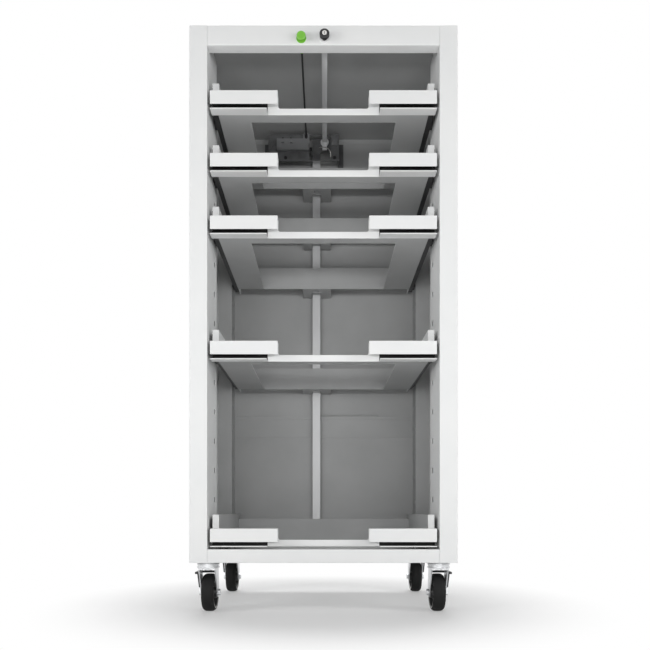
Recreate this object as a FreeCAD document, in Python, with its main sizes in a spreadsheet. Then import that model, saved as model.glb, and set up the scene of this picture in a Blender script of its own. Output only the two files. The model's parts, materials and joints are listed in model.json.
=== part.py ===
"""Rolling tool-case cabinet: an open-fronted steel body on four swivel casters, with five pull-out
trays on telescopic slides that hook into perforated uprights, and one central lock.

Millimetres, +Z up, front towards -Y.  The origin is on the floor, under the middle of the outer box.
Every length is a cell of the "Sizes" sheet, and every feature is bound to those cells.
"""
import FreeCAD, Part
import math
import os
import re

import Sketcher

os.makedirs("parts", exist_ok=True)
doc = FreeCAD.newDocument("tool_case_cabinet")
sheet = doc.addObject("Spreadsheet::Sheet", "Sizes")
names = []
nodes = []

DRAWERS = (1, 2, 3, 4, 5)


# --------------------------------------------------------------------------------------------------
# The sheet of sizes
# --------------------------------------------------------------------------------------------------
sizes = {
    # Body
    "cabinet_width": 515,                 # outside width of the steel body
    "cabinet_depth": 400,                 # outside depth of the steel body
    "body_height": 1030,                  # height of the steel body above the casters
    "panel_sheet": 1.2,                   # sheet of the panels and pans
    "bend_radius": 2.5,                   # outside radius of the panels' bends
    "stile_width": 34.7,                  # front flange of a side panel
    "rear_flange": 22,                    # rear flange of a side panel
    "pan_flange": 12,                     # weld flanges of the top and the base
    "fascia_height": 38,                  # front of the top panel
    "fascia_return": 22.6,                # flange under the fascia
    "return_lip": 4,                      # stiffening lip behind the fascia
    "plinth_height": 26,                  # front of the base pan
    "plinth_return": 14,                  # flange on top of the plinth
    "seam_gap": 0.3,                      # gap beside a piece set between the stiles
    "back_joint_rise": 328,               # body's underside to the lower edge of the upper back panel
    "back_lap": 7,                        # lap of the two back panels
    "back_bead_drop": 45,                 # that edge down to the bead across the lower back panel
    "bead_width": 3,                      # width of that bead
    "bead_depth": 0.6,                    # depth of that bead
    "ledge_start": -7,                    # left end of the ledge on the back joint
    "ledge_length": 143,                  # length of that ledge
    "ledge_depth": 7,                     # how far that ledge stands forward
    # Perforated uprights
    "upright_sheet": 1.5,                 # sheet of the uprights
    "upright_foot": 18,                   # body's underside to an upright's foot, above the caster nuts
    "front_upright_depth": 114,           # front plane to the rear leg of a front upright
    "rear_upright_depth": 54,             # depth of a rear upright
    "weld_flange": 25,                    # flange of an upright on the stile or the back
    "slot_pitch": 60,                     # pitch of the slots, and step of a tray's height
    "slot_margin": 60,                    # least distance from the top to the highest slot
    "first_slot_rise": 62.5,              # body's underside to the middle of the lowest slot
    "slot_width": 15,                     # width of a slot
    "slot_height": 10.5,                  # height of a slot
    "front_slot_setback": 88,             # front plane to the front slots
    "rear_slot_inset": 38,                # rear face to the rear slots
    # Telescopic slides, three members each
    "slide_rear_gap": 26,                 # members' rear ends to the rear face
    "slide_setback": 24,                  # front plane to the members' front ends
    "slide_thickness": 12.7,              # a whole slide, from the upright's side to the tray's
    "slide_stock": 1.2,                   # sheet of the members
    "slide_height": 45,                   # height of the outer member
    "middle_height": 36,                  # height of the middle member
    "inner_height": 26,                   # height of the inner member
    "outer_lip": 9,                       # lips of the outer member, its back included
    "middle_web_inset": 3.2,              # back of the outer member to the middle member's web
    "middle_lip": 6.6,                    # lips of the middle member, its web included
    "inner_lip": 6.7,                     # lips of the inner member, its web included
    "bearing_length": 70,                 # ball strip at a member's rear end
    "bearing_setback": 8,                 # ball strip to the member's rear end
    "running_gap": 0.3,                   # gap at a sliding face
    "hook_gap": 5.4,                      # upright to the back of a slide
    "hook_width": 12,                     # tab through a slot
    "hook_tab_height": 8,                 # height of that tab
    "hook_reach": 0.5,                    # upright's sheet to the hook behind it
    "hook_stock": 1.5,                    # sheet of the hook
    "hook_drop": 6,                       # hook below the slot's lower edge
    "bracket_width": 24,                  # bracket between slide and upright
    "bracket_height": 34,                 # height of that bracket
    # Trays
    "tray_sheet": 1.2,                    # sheet of a tray
    "tray_setback": 22,                   # front plane to a tray's front wall
    "tray_wall_height": 62,               # side walls
    "tray_wall_rear_gap": 37,             # rear ends of the side walls to the rear face
    "tray_rear_height": 50,               # rear wall
    "tray_rear_gap": 78,                  # a tray's rear wall to the rear face
    "tray_lip_height": 13,                # front wall in the middle
    "tray_front_strip": 25.5,             # tray floor at the front
    "tray_side_strip": 61.6,              # tray floor at each side
    "tray_seat": 32,                      # tray floor to the middle of its slots
    "tray_flange": 11.4,                  # front flange of a side wall, over the slide
    "handle_top": 35.3,                   # tray floor to the top of a handle
    "handle_height": 25.8,                # height of a handle plate
    "handle_length": 129.7,               # length of a handle plate
    "handle_gap": 5.2,                    # upright to a handle plate's outer end
    "grip_length": 109,                   # length of the grip's shelf
    "shelf_hem": 2,                       # hem along the grip's shelf
    "lip_radius": 4,                      # corner where the front wall rises to the handles
    "catch_centre": -16.5,                # middle of the tray to the middle of its catch
    "catch_width": 68,                    # width of the catch
    "catch_flange": 20,                   # height of its flange on the rear wall
    "catch_rear_gap": 6.8,                # end of the catch to the rear face
    "notch_front_gap": 18.8,              # notch in front of the locking bar
    "notch_gap": 1,                       # notch beside the locking bar
    "catch_hole_setback": 10,             # rear wall to the hole for the locking finger
    "catch_hole_length": 11,              # that hole, front to back
    "catch_hole_width": 12,               # that hole, side to side
    # Slots that carry the trays; the bottom tray hangs in the lowest
    "drawer_1_down": 2,                   # highest slot to the top tray's, counting itself
    "drawer_2_down": 4,                   # the same for the second tray
    "drawer_3_down": 6,                   # the same for the third tray
    "drawer_4_down": 10,                  # the same for the fourth tray
    # Central lock
    "lock_offset": 2,                     # middle to the lock's axis
    "lock_drop": 25,                      # top of the body to the axes of the lock and the button
    "knob_reach": 16,                     # fascia to the knob's front
    "knob_diameter": 19,                  # head of the knob
    "knob_head": 7,                       # thickness of that head
    "knob_stem_diameter": 11,             # stem of the knob
    "knob_stem_setback": 28,              # fascia's front to the stem's rear end
    "key_slot_length": 8,                 # key slot
    "key_slot_width": 2,                  # width of the key slot
    "key_slot_depth": 5,                  # depth of the key slot
    "barrel_diameter": 16,                # threaded barrel through the fascia
    "barrel_setback": 24,                 # fascia's front to the barrel's rear end
    "bezel_diameter": 19,                 # bezels of the lock and the button
    "bezel_thickness": 1.5,               # thickness of those bezels
    "nut_width": 23,                      # nuts behind the fascia
    "nut_thickness": 5,                   # thickness of those nuts
    "shaft_gap": 0.05,                    # radial running clearance
    "rod_width": 11,                      # flat rod from the lock to the back
    "rod_thickness": 3,                   # thickness of that rod
    "crank_inset": 37,                    # crank's plate to the rear face
    "crank_thickness": 3.5,               # thickness of the crank
    "crank_radius": 10,                   # round end of the crank
    "crank_tail": 20,                     # axis to the end of the crank's tail
    "crank_throw": 7,                     # axis to the crank's pin
    "crank_pin_radius": 2.5,              # radius of the crank's pin
    "crank_slot_gap": 0.6,                # pin to the slot in the locking bar's head
    "bar_centre": -18.2,                  # middle to the middle of the locking bar
    "bar_width": 19,                      # locking bar, a channel open to the rear
    "bar_depth": 16,                      # depth of that channel
    "bar_inset": 26,                      # locking bar to the rear face
    "bar_stock": 1.5,                     # sheet of the locking bar
    "bar_foot": 4,                        # floor of the bottom tray to the bar's lower end
    "head_height": 32,                    # head plate of the locking bar
    "head_lap": 14,                       # ear to the plate's lower end, lapped on the bar
    "head_rise": 12,                      # lock's axis to the top of that head
    "head_reach": 15,                     # lock's axis to the head's right end
    "ear_length": 5.5,                    # stop ear left of the bar
    "ear_height": 10,                     # height of that ear
    "ear_drop": 16.5,                     # lock's axis to the top of that ear
    "finger_width": 8,                    # locking fingers
    "finger_length": 6,                   # locking fingers, front to back
    "finger_rise": 3.5,                   # tray floor to a finger's tip, unlocked
    "finger_arm_rise": 13,                # tray floor to the underside of a finger's arm
    "finger_arm_height": 4,               # height of that arm
    "guide_height": 30,                   # glide blocks inside the locking bar
    "guide_rise": 150,                    # body's underside to the lowest glide block
    "guide_drop": 110,                    # top of the body to the highest glide block
    # Release button, its cable and the latch it works
    "button_offset": -42.5,               # middle to the button's axis
    "button_reach": 10,                   # fascia to the button's front
    "button_diameter": 17,                # head of the button
    "button_head": 3.6,                   # thickness of that head
    "head_bevel": 1.2,                    # bevel round the front of the button and the knob
    "button_stem_diameter": 8,            # stem of the button
    "button_stem_setback": 20,            # fascia's front to the stem's rear end
    "collar_diameter": 13,                # sleeve round the button's stem
    "collar_setback": 34,                 # fascia's front to the sleeve's rear end
    "cable_start": 28,                    # fascia's front to the cable's sheath
    "cable_inset": 55,                    # sheath's rear end to the rear face
    "cable_diameter": 4,                  # sheath of the cable
    "ferrule_diameter": 7,                # ferrules at the sheath's ends
    "ferrule_length": 12,                 # length of those ferrules
    "wire_diameter": 1.6,                 # push wire in the sheath
    "wire_gap": 0.3,                      # radial gap round the wire
    "wire_inset": 36.2,                   # wire's rear end to the rear face
    "latch_plate_left": -135,             # middle to the latch plate's left side
    "latch_plate_right": 37,              # middle to the latch plate's right side
    "latch_plate_bottom": 79,             # top of the body to the latch plate's lower edge
    "latch_plate_top": 14,                # top of the body to the latch plate's upper edge
    "latch_plate_inset": 50,              # latch plate to the rear face
    "latch_sheet": 1.5,                   # sheet of the latch plate
    "window_left": -35,                   # middle to the left side of the latch plate's window
    "window_right": 17,                   # middle to the window's right side
    "window_bottom": 76,                  # top of the body to the window's lower edge
    "window_top": 18.5,                   # top of the body to the window's upper edge
    "plate_hole_diameter": 6.5,           # screw holes of the latch plate
    "plate_hole_left": -93,               # middle to the left screw hole
    "plate_hole_right": 26,               # middle to the right screw hole
    "plate_hole_drop": 70.5,              # top of the body to those holes
    "pad_size": 17,                       # square pad on the latch plate
    "pad_thickness": 2,                   # thickness of that pad
    "pad_left": 19,                       # middle to the pad's left side
    "pad_drop": 24,                       # top of the body to the pad's upper edge
    "block_left": -114,                   # middle to the latch block's left side
    "block_length": 77.5,                 # length of the latch block
    "block_drop": 28,                     # top of the body to the block's upper edge
    "block_height": 27,                   # height of the latch block
    "block_thickness": 8.5,               # thickness of the latch block
    "block_hole_spacing": 19.3,           # between the block's two screw recesses
    "block_hole_start": 14.7,             # block's left side to the first recess
    "block_hole_drop": 11,                # block's upper edge to the recesses
    "block_hole_depth": 4,                # depth of the recesses
    "clip_width": 15,                     # cable clip on the latch block
    "clip_height": 12,                    # cable clip above the block's upper edge
    "pawl_pivot_offset": -58,             # middle to the pawl's pivot
    "pawl_pivot_inset": 32,               # pawl's pivot to the rear face
    "pawl_drop": 38,                      # top of the body to the pawl's upper face
    "pawl_thickness": 3,                  # thickness of the pawl
    "pawl_radius": 5,                     # round end of the pawl
    "pawl_pin_radius": 2,                 # pivot pin of the pawl
    "pawl_arm_inset": 36,                 # face that the wire pushes to the rear face
    "pawl_arm_depth": 7,                  # width of the pawl's arm
    "pawl_nose_left": -34.5,              # middle to the left side of the pawl's nose
    "pawl_nose_right": -29,               # middle to the right side of the pawl's nose
    "pawl_nose_inset": 21,                # end of the nose to the rear face
    "pawl_shelf_width": 18,               # shelf under the pawl
    "pawl_shelf": 2,                      # thickness of that shelf
    "pawl_pin_rise": 2,                   # pin above the pawl
    "plate_foot": 12,                     # feet of the latch plate on the back panel
    # Casters
    "caster_inset_side": 30.8,            # body's side to a caster's swivel axis
    "caster_inset_end": 37,               # body's front or back to a swivel axis
    "caster_trail": 19.5,                 # swivel axis to wheel axis
    "wheel_diameter": 75,                 # outside of a tyre
    "tyre_width": 25,                     # width of a tyre
    "tyre_thickness": 6,                  # tread to rim
    "tyre_bevel": 4,                      # bevel of the tread's edges
    "rim_web": 5,                         # disc between rim and hub
    "rim_flange": 3,                      # rim ring under the tyre
    "rim_inset": 1,                       # tyre's side to the rim's side
    "hub_diameter": 22,                   # hub of a wheel
    "hub_gap": 0.7,                       # hub to fork leg
    "fork_clearance": 2,                  # tyre's side to fork leg
    "fork_stock": 2.5,                    # sheet of a fork
    "crown_gap": 10.5,                    # tread to the underside of the fork's crown
    "fork_leg_width": 38,                 # fork leg at the crown
    "fork_leg_end": 10,                   # radius of a leg's end at the axle
    "crown_diameter": 42,                 # ball race on the crown
    "race_height": 12,                    # fork's crown to the body's underside
    "axle_diameter": 8,                   # wheel bolt
    "axle_head_diameter": 13,             # head and nut of the wheel bolt
    "axle_head": 4,                       # thickness of that head
    "king_diameter": 10,                  # stem through the base pan
    "king_gap": 0.3,                      # radial gap of that stem in the pan
    "king_pin_diameter": 8,               # pin through the crown
    "king_disc_diameter": 38,             # disc under the base pan
    "king_disc": 3,                       # thickness of that disc
    "king_rise": 14,                      # stem above the base pan's underside
    "king_nut": 6,                        # thickness of the stem's nut
    "king_nut_diameter": 18,              # width of the stem's nut
    "king_foot": 2,                       # rivet head under the crown
    "king_foot_diameter": 15,             # width of that rivet head
    "brake_gap": 0.5,                     # fork leg to brake lever
    "brake_thickness": 3,                 # plate of the brake lever
    "brake_shoe_gap": 1,                  # tread to the brake shoe
    "brake_shoe_height": 4,               # thickness of the shoe
    "brake_shoe_offset": 23,              # swivel axis to the shoe's front
    "brake_shoe_length": 7,               # length of the shoe
    "brake_bottom_rise": 10.5,            # wheel axis to the lever's lower end
    "brake_top_width": 24,                # lever at the pedal
    "brake_foot_width": 9,                # lever at its lower end
    "brake_pedal_reach": 4.5,             # pedal beyond the lever's plate
    "brake_top_offset": 4,                # swivel axis to the middle of the lever's top, to the rear
    "brake_bottom_offset": 14,            # swivel axis to the middle of its lower end, to the rear
    "brake_pivot_rise": 26.5,             # wheel axis to the lever's pivot
    "brake_pivot_offset": 8,              # swivel axis to the lever's pivot, to the rear
    "brake_pin_radius": 3,                # pivot pin of the brake lever
}
worked_out = {
    "half_width": "=cabinet_width / 2",                     # middle to a side panel's outside
    "side_inner": "=half_width - panel_sheet",              # middle to a side panel's inside
    "bay_half": "=half_width - stile_width",                # middle to the uprights' faces
    "wheel_radius": "=wheel_diameter / 2",                  # axle's height
    "fork_top": "=wheel_diameter + crown_gap + fork_stock",  # floor to the crown's top
    "caster_height": "=fork_top + race_height",             # floor to the body's underside
    "top_height": "=caster_height + body_height",           # floor to the top
    # front plane to the rear wheels' rear
    "rear_reach": "=cabinet_depth - caster_inset_end + caster_trail + wheel_radius",
    "front_y": "=(knob_reach - rear_reach) / 2",            # front plane, with the outer box centred
    "back_y": "=front_y + cabinet_depth",                   # rear face
    "back_front_y": "=back_y - 2 * panel_sheet",            # front face of the back panels
    "back_joint_height": "=caster_height + back_joint_rise",  # lower edge of the upper back panel
    "axis_height": "=top_height - lock_drop",               # floor to the axes of the lock and the button
    "first_slot_height": "=caster_height + first_slot_rise",  # middle of the lowest slot
    # slots in each upright
    "slot_count": "=floor((top_height - slot_margin - first_slot_height) / slot_pitch) + 1",
    "rear_slot_setback": "=cabinet_depth - rear_slot_inset",  # front plane to the rear slots
    "slide_back": "=bay_half - hook_gap",                   # middle to the back of a slide
    # length of each member
    "slide_length": "=cabinet_depth - slide_rear_gap - slide_setback",
    "tray_half": "=slide_back - slide_thickness",           # middle to a tray's outside
    "handle_end": "=bay_half - handle_gap",                 # middle to a handle plate's outer end
    "handle_start": "=handle_end - handle_length",          # middle to its inner end
    "grip_start": "=handle_end - grip_length",              # middle to the grip shelf's inner end
    # side walls, front to back
    "tray_wall_length": "=cabinet_depth - tray_wall_rear_gap - tray_setback",
    "tray_rear": "=cabinet_depth - tray_rear_gap",          # front plane to a tray's rear wall
    "bar_setback": "=cabinet_depth - bar_inset",            # front plane to the locking bar
    "crank_setback": "=cabinet_depth - crank_inset",        # front plane to the crank's plate
    "cable_end": "=cabinet_depth - cable_inset",            # front plane to the sheath's rear end
    "latch_plate_setback": "=cabinet_depth - latch_plate_inset",  # front plane to the latch plate
    "pawl_pivot_setback": "=cabinet_depth - pawl_pivot_inset",  # front plane to the pawl's pivot
    "pawl_arm_front": "=cabinet_depth - pawl_arm_inset",    # front plane to the face that the wire pushes
    "guide_1_height": "=caster_height + guide_rise",        # floor to the lowest glide block
    "guide_3_height": "=top_height - guide_drop",           # floor to the highest glide block
    "guide_2_height": "=(guide_1_height + guide_3_height) / 2",  # floor to the middle glide block
    "caster_x": "=half_width - caster_inset_side",          # middle to a swivel axis
    "fork_inner": "=tyre_width / 2 + fork_clearance",       # wheel's middle to a leg's inside
    "fork_outer": "=fork_inner + fork_stock",               # wheel's middle to a leg's outside
    "brake_pivot_height": "=wheel_radius + brake_pivot_rise",  # floor to the brake lever's pivot
    "crank_pin_offset": "=crank_throw * sqrt(0.5)",         # pin beside and above the lock's axis
    "level_height": "=first_slot_height - tray_seat",       # floor of a tray in the lowest slots
    "drawer_5_level": "=level_height",                      # floor of the bottom tray
}
for number in DRAWERS[:-1]:
    worked_out[f"drawer_{number}_level"] = (
        f"=level_height + slot_pitch * (slot_count - drawer_{number}_down)")

for row, (alias, content) in enumerate({**sizes, **worked_out}.items(), start=1):
    sheet.set(f"A{row}", alias)
    sheet.set(f"B{row}", str(content))
    sheet.setAlias(f"B{row}", alias)
    names.append(alias)
doc.recompute()


# --------------------------------------------------------------------------------------------------
# Helpers
# --------------------------------------------------------------------------------------------------
def value(alias):
    """The number that a cell of the sheet holds now."""
    return float(sheet.get(alias))


def bind(thing, prop, formula):
    """Tie a property to a formula, in which each alias is a cell of the sheet."""
    def cell(match):
        word = match.group()
        return "Sizes." + word if word in names else word
    thing.setExpression(prop, re.sub(r"[a-z_][a-z_0-9]*", cell, str(formula)))


def place(thing, x="0", y="0", z="0"):
    """Bind a finished piece's placement."""
    for axis, formula in zip("xyz", (x, y, z)):
        bind(thing, "Placement.Base." + axis, formula)
    return thing


def block(x, y, z):
    """A rectangular solid between a (low, high) pair of formulas on each axis."""
    box = doc.addObject("Part::Box", "block")
    for axis, prop, (low, high) in zip("xyz", ("Length", "Width", "Height"), (x, y, z)):
        bind(box, "Placement.Base." + axis, low)
        bind(box, prop, f"({high}) - ({low})")
    return box


TURNS = {"x": FreeCAD.Rotation(FreeCAD.Vector(0, 1, 0), 90),
         "y": FreeCAD.Rotation(FreeCAD.Vector(1, 0, 0), -90),
         "z": FreeCAD.Rotation()}


def round_bar(along, radius, start, length, x="0", y="0", z="0"):
    """A cylinder along one axis, from start on that axis; the other two give its centre line."""
    bar = doc.addObject("Part::Cylinder", "round_bar")
    bind(bar, "Radius", radius)
    bind(bar, "Height", length)
    bar.Placement.Rotation = TURNS[along]
    centre = {"x": x, "y": y, "z": z}
    centre[along] = start
    return place(bar, **centre)


def hex_bar(along, width, start, length, x="0", y="0", z="0"):
    """A hexagonal nut or bolt head, by its width across the corners."""
    bar = doc.addObject("Part::Prism", "hex_bar")
    bar.Polygon = 6
    bind(bar, "Circumradius", f"({width}) / 2")
    bind(bar, "Height", length)
    bar.Placement.Rotation = TURNS[along]
    centre = {"x": x, "y": y, "z": z}
    centre[along] = start
    return place(bar, **centre)


def joined(*pieces):
    """Fuse pieces that are one solid."""
    fusion = doc.addObject("Part::MultiFuse", "joined")
    fusion.Shapes = list(pieces)
    fusion.Refine = True
    return fusion


def less(base, *tools):
    """Cut tools out of a piece."""
    for tool in tools:
        cut = doc.addObject("Part::Cut", "less")
        cut.Base = base
        cut.Tool = tool
        cut.Refine = True
        base = cut
    return base


def mirrored(piece):
    """The same piece on the other side of the middle plane."""
    mirror = doc.addObject("Part::Mirroring", "mirrored")
    mirror.Source = piece
    mirror.Normal = FreeCAD.Vector(1, 0, 0)
    return mirror


def group(*pieces):
    """Separate solids that share one node."""
    compound = doc.addObject("Part::Compound", "group")
    compound.Links = list(pieces)
    return compound


def node(piece, label):
    """Give a finished sub-part the label that names its file."""
    piece.Label = label
    nodes.append(piece)
    return piece


def new_body():
    return doc.addObject("PartDesign::Body", "body")


def outline(body, plane, at, *loops):
    """A sketch of closed loops of corners on an origin plane, moved to "at" along its axis.

    A corner is a pair of formulas, held by its distances from the sketch's two axes.
    """
    sketch = body.newObject("Sketcher::SketchObject", "outline")
    support = next(f for f in body.Origin.OriginFeatures if f.Role == plane + "_Plane")
    sketch.AttachmentSupport = [(support, "")]
    sketch.MapMode = "FlatFace"
    bind(sketch, "AttachmentOffset.Base.z", f"-({at})" if plane == "XZ" else at)
    for corners in loops:
        first = sketch.GeometryCount
        count = len(corners)
        ring = [FreeCAD.Vector(math.cos(math.tau * i / count), math.sin(math.tau * i / count), 0)
                for i in range(count)]
        for i in range(count):
            sketch.addGeometry(Part.LineSegment(ring[i], ring[(i + 1) % count]), False)
        for i, (across, up) in enumerate(corners):
            line = first + i
            sketch.addConstraint(Sketcher.Constraint("Coincident", line, 2, first + (i + 1) % count, 1))
            for kind, formula in (("DistanceX", across), ("DistanceY", up)):
                start = ring[i].x if kind == "DistanceX" else ring[i].y
                held = sketch.addConstraint(Sketcher.Constraint(kind, -1, 1, line, 1, start))
                bind(sketch, f"Constraints[{held}]", formula)
    return sketch


def pad(body, plane, low, high, *loops):
    """Add the loops' solid between two places on the plane's axis."""
    feature = body.newObject("PartDesign::Pad", "pad")
    feature.Profile = outline(body, plane, high if plane == "XZ" else low, *loops)
    bind(feature, "Length", f"({high}) - ({low})")
    body.Tip = feature
    return feature


def pocket(body, plane, low, high, *loops):
    """Cut the loops' solid between two places on the plane's axis."""
    feature = body.newObject("PartDesign::Pocket", "pocket")
    feature.Profile = outline(body, plane, low if plane == "XZ" else high, *loops)
    bind(feature, "Length", f"({high}) - ({low})")
    body.Tip = feature
    return feature


def rectangle(left, right, low, high):
    return [(left, low), (right, low), (right, high), (left, high)]


def mirror_feature(body, *features):
    """Repeat features on the other side of the body's middle plane."""
    twin = body.newObject("PartDesign::Mirrored", "twin")
    twin.Originals = list(features)
    middle = next(f for f in body.Origin.OriginFeatures if f.Role == "YZ_Plane")
    twin.MirrorPlane = (middle, [""])
    body.Tip = twin
    return twin


def row_up(body, feature, pitch, count):
    """Repeat a feature upwards."""
    row = body.newObject("PartDesign::LinearPattern", "row")
    row.Originals = [feature]
    upright = next(f for f in body.Origin.OriginFeatures if f.Role == "Z_Axis")
    row.Direction = (upright, [""])
    row.Mode = "Spacing"
    bind(row, "Offset", pitch)
    bind(row, "Occurrences", count)
    body.Tip = row
    return row


def round_edges(body, radius, wanted):
    """Round the edges of the body's last feature that "wanted" picks by middle, direction and length."""
    doc.recompute()
    base = body.Tip
    picked = []
    for index, edge in enumerate(base.Shape.Edges):
        direction = edge.tangentAt(edge.FirstParameter)
        if wanted(edge.CenterOfMass, direction, edge.Length):
            picked.append(f"Edge{index + 1}")
    fillet = body.newObject("PartDesign::Fillet", "bend")
    fillet.Base = (base, picked)
    bind(fillet, "Radius", radius)
    body.Tip = fillet
    return fillet


def near(a, b):
    return abs(a - b) < 0.01


def turned(body, axis, *loops):
    """Spin loops round an axis of the body: (radius, along) pairs round Y or Z, (along, radius) round X."""
    feature = body.newObject("PartDesign::Revolution", "turned")
    feature.Profile = outline(body, "XZ" if axis == "Z" else "XY", "0", *loops)
    line = next(f for f in body.Origin.OriginFeatures if f.Role == axis + "_Axis")
    feature.ReferenceAxis = (line, [""])
    feature.Angle = 360
    body.Tip = feature
    return feature


# --------------------------------------------------------------------------------------------------
# Steel body
# --------------------------------------------------------------------------------------------------
def side_panels():
    """A sheet folded at the front into the stile and at the back into a narrow flange."""
    body = new_body()
    pad(body, "XY", "caster_height", "top_height", [
        ("bay_half", "front_y"),
        ("half_width", "front_y"),
        ("half_width", "back_y"),
        ("half_width - rear_flange", "back_y"),
        ("half_width - rear_flange", "back_y - panel_sheet"),
        ("side_inner", "back_y - panel_sheet"),
        ("side_inner", "front_y + panel_sheet"),
        ("bay_half", "front_y + panel_sheet")])
    outside = value("half_width")
    inside = value("side_inner")
    round_edges(body, "bend_radius", lambda c, d, n: near(c.x, outside) and near(abs(d.z), 1))
    round_edges(body, "bend_radius - panel_sheet", lambda c, d, n: near(c.x, inside) and near(abs(d.z), 1))
    node(body, "side_panel_right")
    node(mirrored(body), "side_panel_left")


def upright(corners, slot_setback):
    """A folded post with a row of slots in the face towards the bay."""
    body = new_body()
    pad(body, "XY", "caster_height + upright_foot", "top_height - panel_sheet", corners)
    slot = pocket(body, "YZ", "bay_half - 1", "bay_half + upright_sheet + 1", rectangle(
        f"front_y + {slot_setback} - slot_width / 2", f"front_y + {slot_setback} + slot_width / 2",
        "first_slot_height - slot_height / 2", "first_slot_height + slot_height / 2"))
    row_up(body, slot, "slot_pitch", "slot_count")
    return body


def front_uprights():
    """Channels welded behind the stiles and to the side panels."""
    front = "front_y + panel_sheet"
    rear = "front_y + front_upright_depth"
    body = upright([
        ("bay_half", front),
        ("bay_half + weld_flange", front),
        ("bay_half + weld_flange", front + " + upright_sheet"),
        ("bay_half + upright_sheet", front + " + upright_sheet"),
        ("bay_half + upright_sheet", rear + " - upright_sheet"),
        ("side_inner", rear + " - upright_sheet"),
        ("side_inner", rear),
        ("bay_half", rear)], "front_slot_setback")
    node(group(body, mirrored(body)), "front_uprights")


def rear_uprights():
    """Channels welded to the side panels and in front of the back panels."""
    front = "back_front_y - rear_upright_depth"
    body = upright([
        ("bay_half", front),
        ("side_inner", front),
        ("side_inner", front + " + upright_sheet"),
        ("bay_half + upright_sheet", front + " + upright_sheet"),
        ("bay_half + upright_sheet", "back_front_y - upright_sheet"),
        ("bay_half + weld_flange", "back_front_y - upright_sheet"),
        ("bay_half + weld_flange", "back_front_y"),
        ("bay_half", "back_front_y")], "rear_slot_setback")
    node(group(body, mirrored(body)), "rear_uprights")


def clipped_sheet(front, back):
    """A sheet from side panel to side panel, its corners clipped clear of their bends."""
    clip = "(bend_radius - panel_sheet)"
    right = [(f"side_inner - {clip}", front), ("side_inner", f"{front} + {clip}"),
             ("side_inner", f"{back} - {clip}"), (f"side_inner - {clip}", back)]
    return right + [(f"-({across})", along) for across, along in reversed(right)]


def weld_flanges(body, low, high):
    """Flanges of the top or the base: one along the back and one along each side, between uprights."""
    pad(body, "XY", low, high, rectangle(
        "-bay_half", "bay_half", "back_front_y - panel_sheet", "back_front_y"))
    side = pad(body, "XY", low, high, rectangle(
        "side_inner - panel_sheet", "side_inner",
        "front_y + front_upright_depth", "back_front_y - rear_upright_depth"))
    mirror_feature(body, side)


def top_panel():
    """The top sheet, with the fascia folded down at the front and returned under itself."""
    body = new_body()
    pad(body, "XY", "top_height - panel_sheet", "top_height",
        clipped_sheet("front_y + panel_sheet", "back_y - panel_sheet"))
    lower = "top_height - fascia_height"
    inner = "front_y + fascia_return"
    pad(body, "YZ", "seam_gap - bay_half", "bay_half - seam_gap", [
        ("front_y", lower),
        (inner, lower),
        (inner, lower + " + return_lip"),
        (inner + " - panel_sheet", lower + " + return_lip"),
        (inner + " - panel_sheet", lower + " + panel_sheet"),
        ("front_y + panel_sheet", lower + " + panel_sheet"),
        ("front_y + panel_sheet", "top_height"),
        ("front_y", "top_height")])
    weld_flanges(body, "top_height - pan_flange", "top_height")
    front = value("front_y")
    round_edges(body, "bend_radius / 2", lambda c, d, n: near(c.y, front) and near(abs(d.x), 1))
    lock_hole = round_bar("y", "barrel_diameter / 2", "front_y - 1", "panel_sheet + 2",
                          x="lock_offset", z="axis_height")
    button_hole = round_bar("y", "collar_diameter / 2", "front_y - 1", "panel_sheet + 2",
                            x="button_offset", z="axis_height")
    node(less(body, lock_hole, button_hole), "top_panel")


def base_pan():
    """The floor sheet, with the plinth folded up at the front, and holes for the caster stems."""
    body = new_body()
    pad(body, "XY", "caster_height", "caster_height + panel_sheet",
        clipped_sheet("front_y + panel_sheet", "back_front_y"))
    upper = "caster_height + plinth_height"
    pad(body, "YZ", "seam_gap - bay_half", "bay_half - seam_gap", [
        ("front_y", "caster_height"),
        ("front_y + panel_sheet", "caster_height"),
        ("front_y + panel_sheet", upper + " - panel_sheet"),
        ("front_y + plinth_return", upper + " - panel_sheet"),
        ("front_y + plinth_return", upper),
        ("front_y", upper)])
    weld_flanges(body, "caster_height", "caster_height + pan_flange")
    front = value("front_y")
    round_edges(body, "bend_radius / 2", lambda c, d, n: near(c.y, front) and near(abs(d.x), 1))
    holes = [round_bar("z", "king_diameter / 2 + king_gap", "caster_height - 1", "panel_sheet + 2",
                       x=x, y=y)
             for x in ("caster_x", "-caster_x")
             for y in ("front_y + caster_inset_end", "back_y - caster_inset_end")]
    node(less(body, *holes), "base_pan")


def back_panels():
    """Two sheets between top and base; the upper one laps over the lower one, with a ledge on the lap."""
    half = "(side_inner - bend_radius + panel_sheet)"
    lower = new_body()
    pad(lower, "YZ", "-" + half, half, rectangle(
        "back_front_y", "back_front_y + panel_sheet", "caster_height", "back_joint_height + back_lap"))
    pocket(lower, "XZ", "back_front_y", "back_front_y + bead_depth", rectangle(
        "-bay_half", "bay_half", "back_joint_height - back_bead_drop - bead_width / 2",
        "back_joint_height - back_bead_drop + bead_width / 2"))
    node(lower, "back_panel_lower")

    upper = new_body()
    seat = "back_joint_height + back_lap"
    pad(upper, "YZ", "-" + half, half, rectangle(
        "back_front_y", "back_front_y + panel_sheet", seat, "top_height - panel_sheet"))
    pad(upper, "YZ", "seam_gap - bay_half", "bay_half - seam_gap", rectangle(
        "back_front_y - panel_sheet", "back_front_y", "back_joint_height", seat + " + panel_sheet"))
    pad(upper, "YZ", "ledge_start", "ledge_start + ledge_length", rectangle(
        "back_front_y - panel_sheet - ledge_depth", "back_front_y",
        seat + " + panel_sheet", seat + " + 2 * panel_sheet"))
    node(upper, "back_panel_upper")


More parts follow.
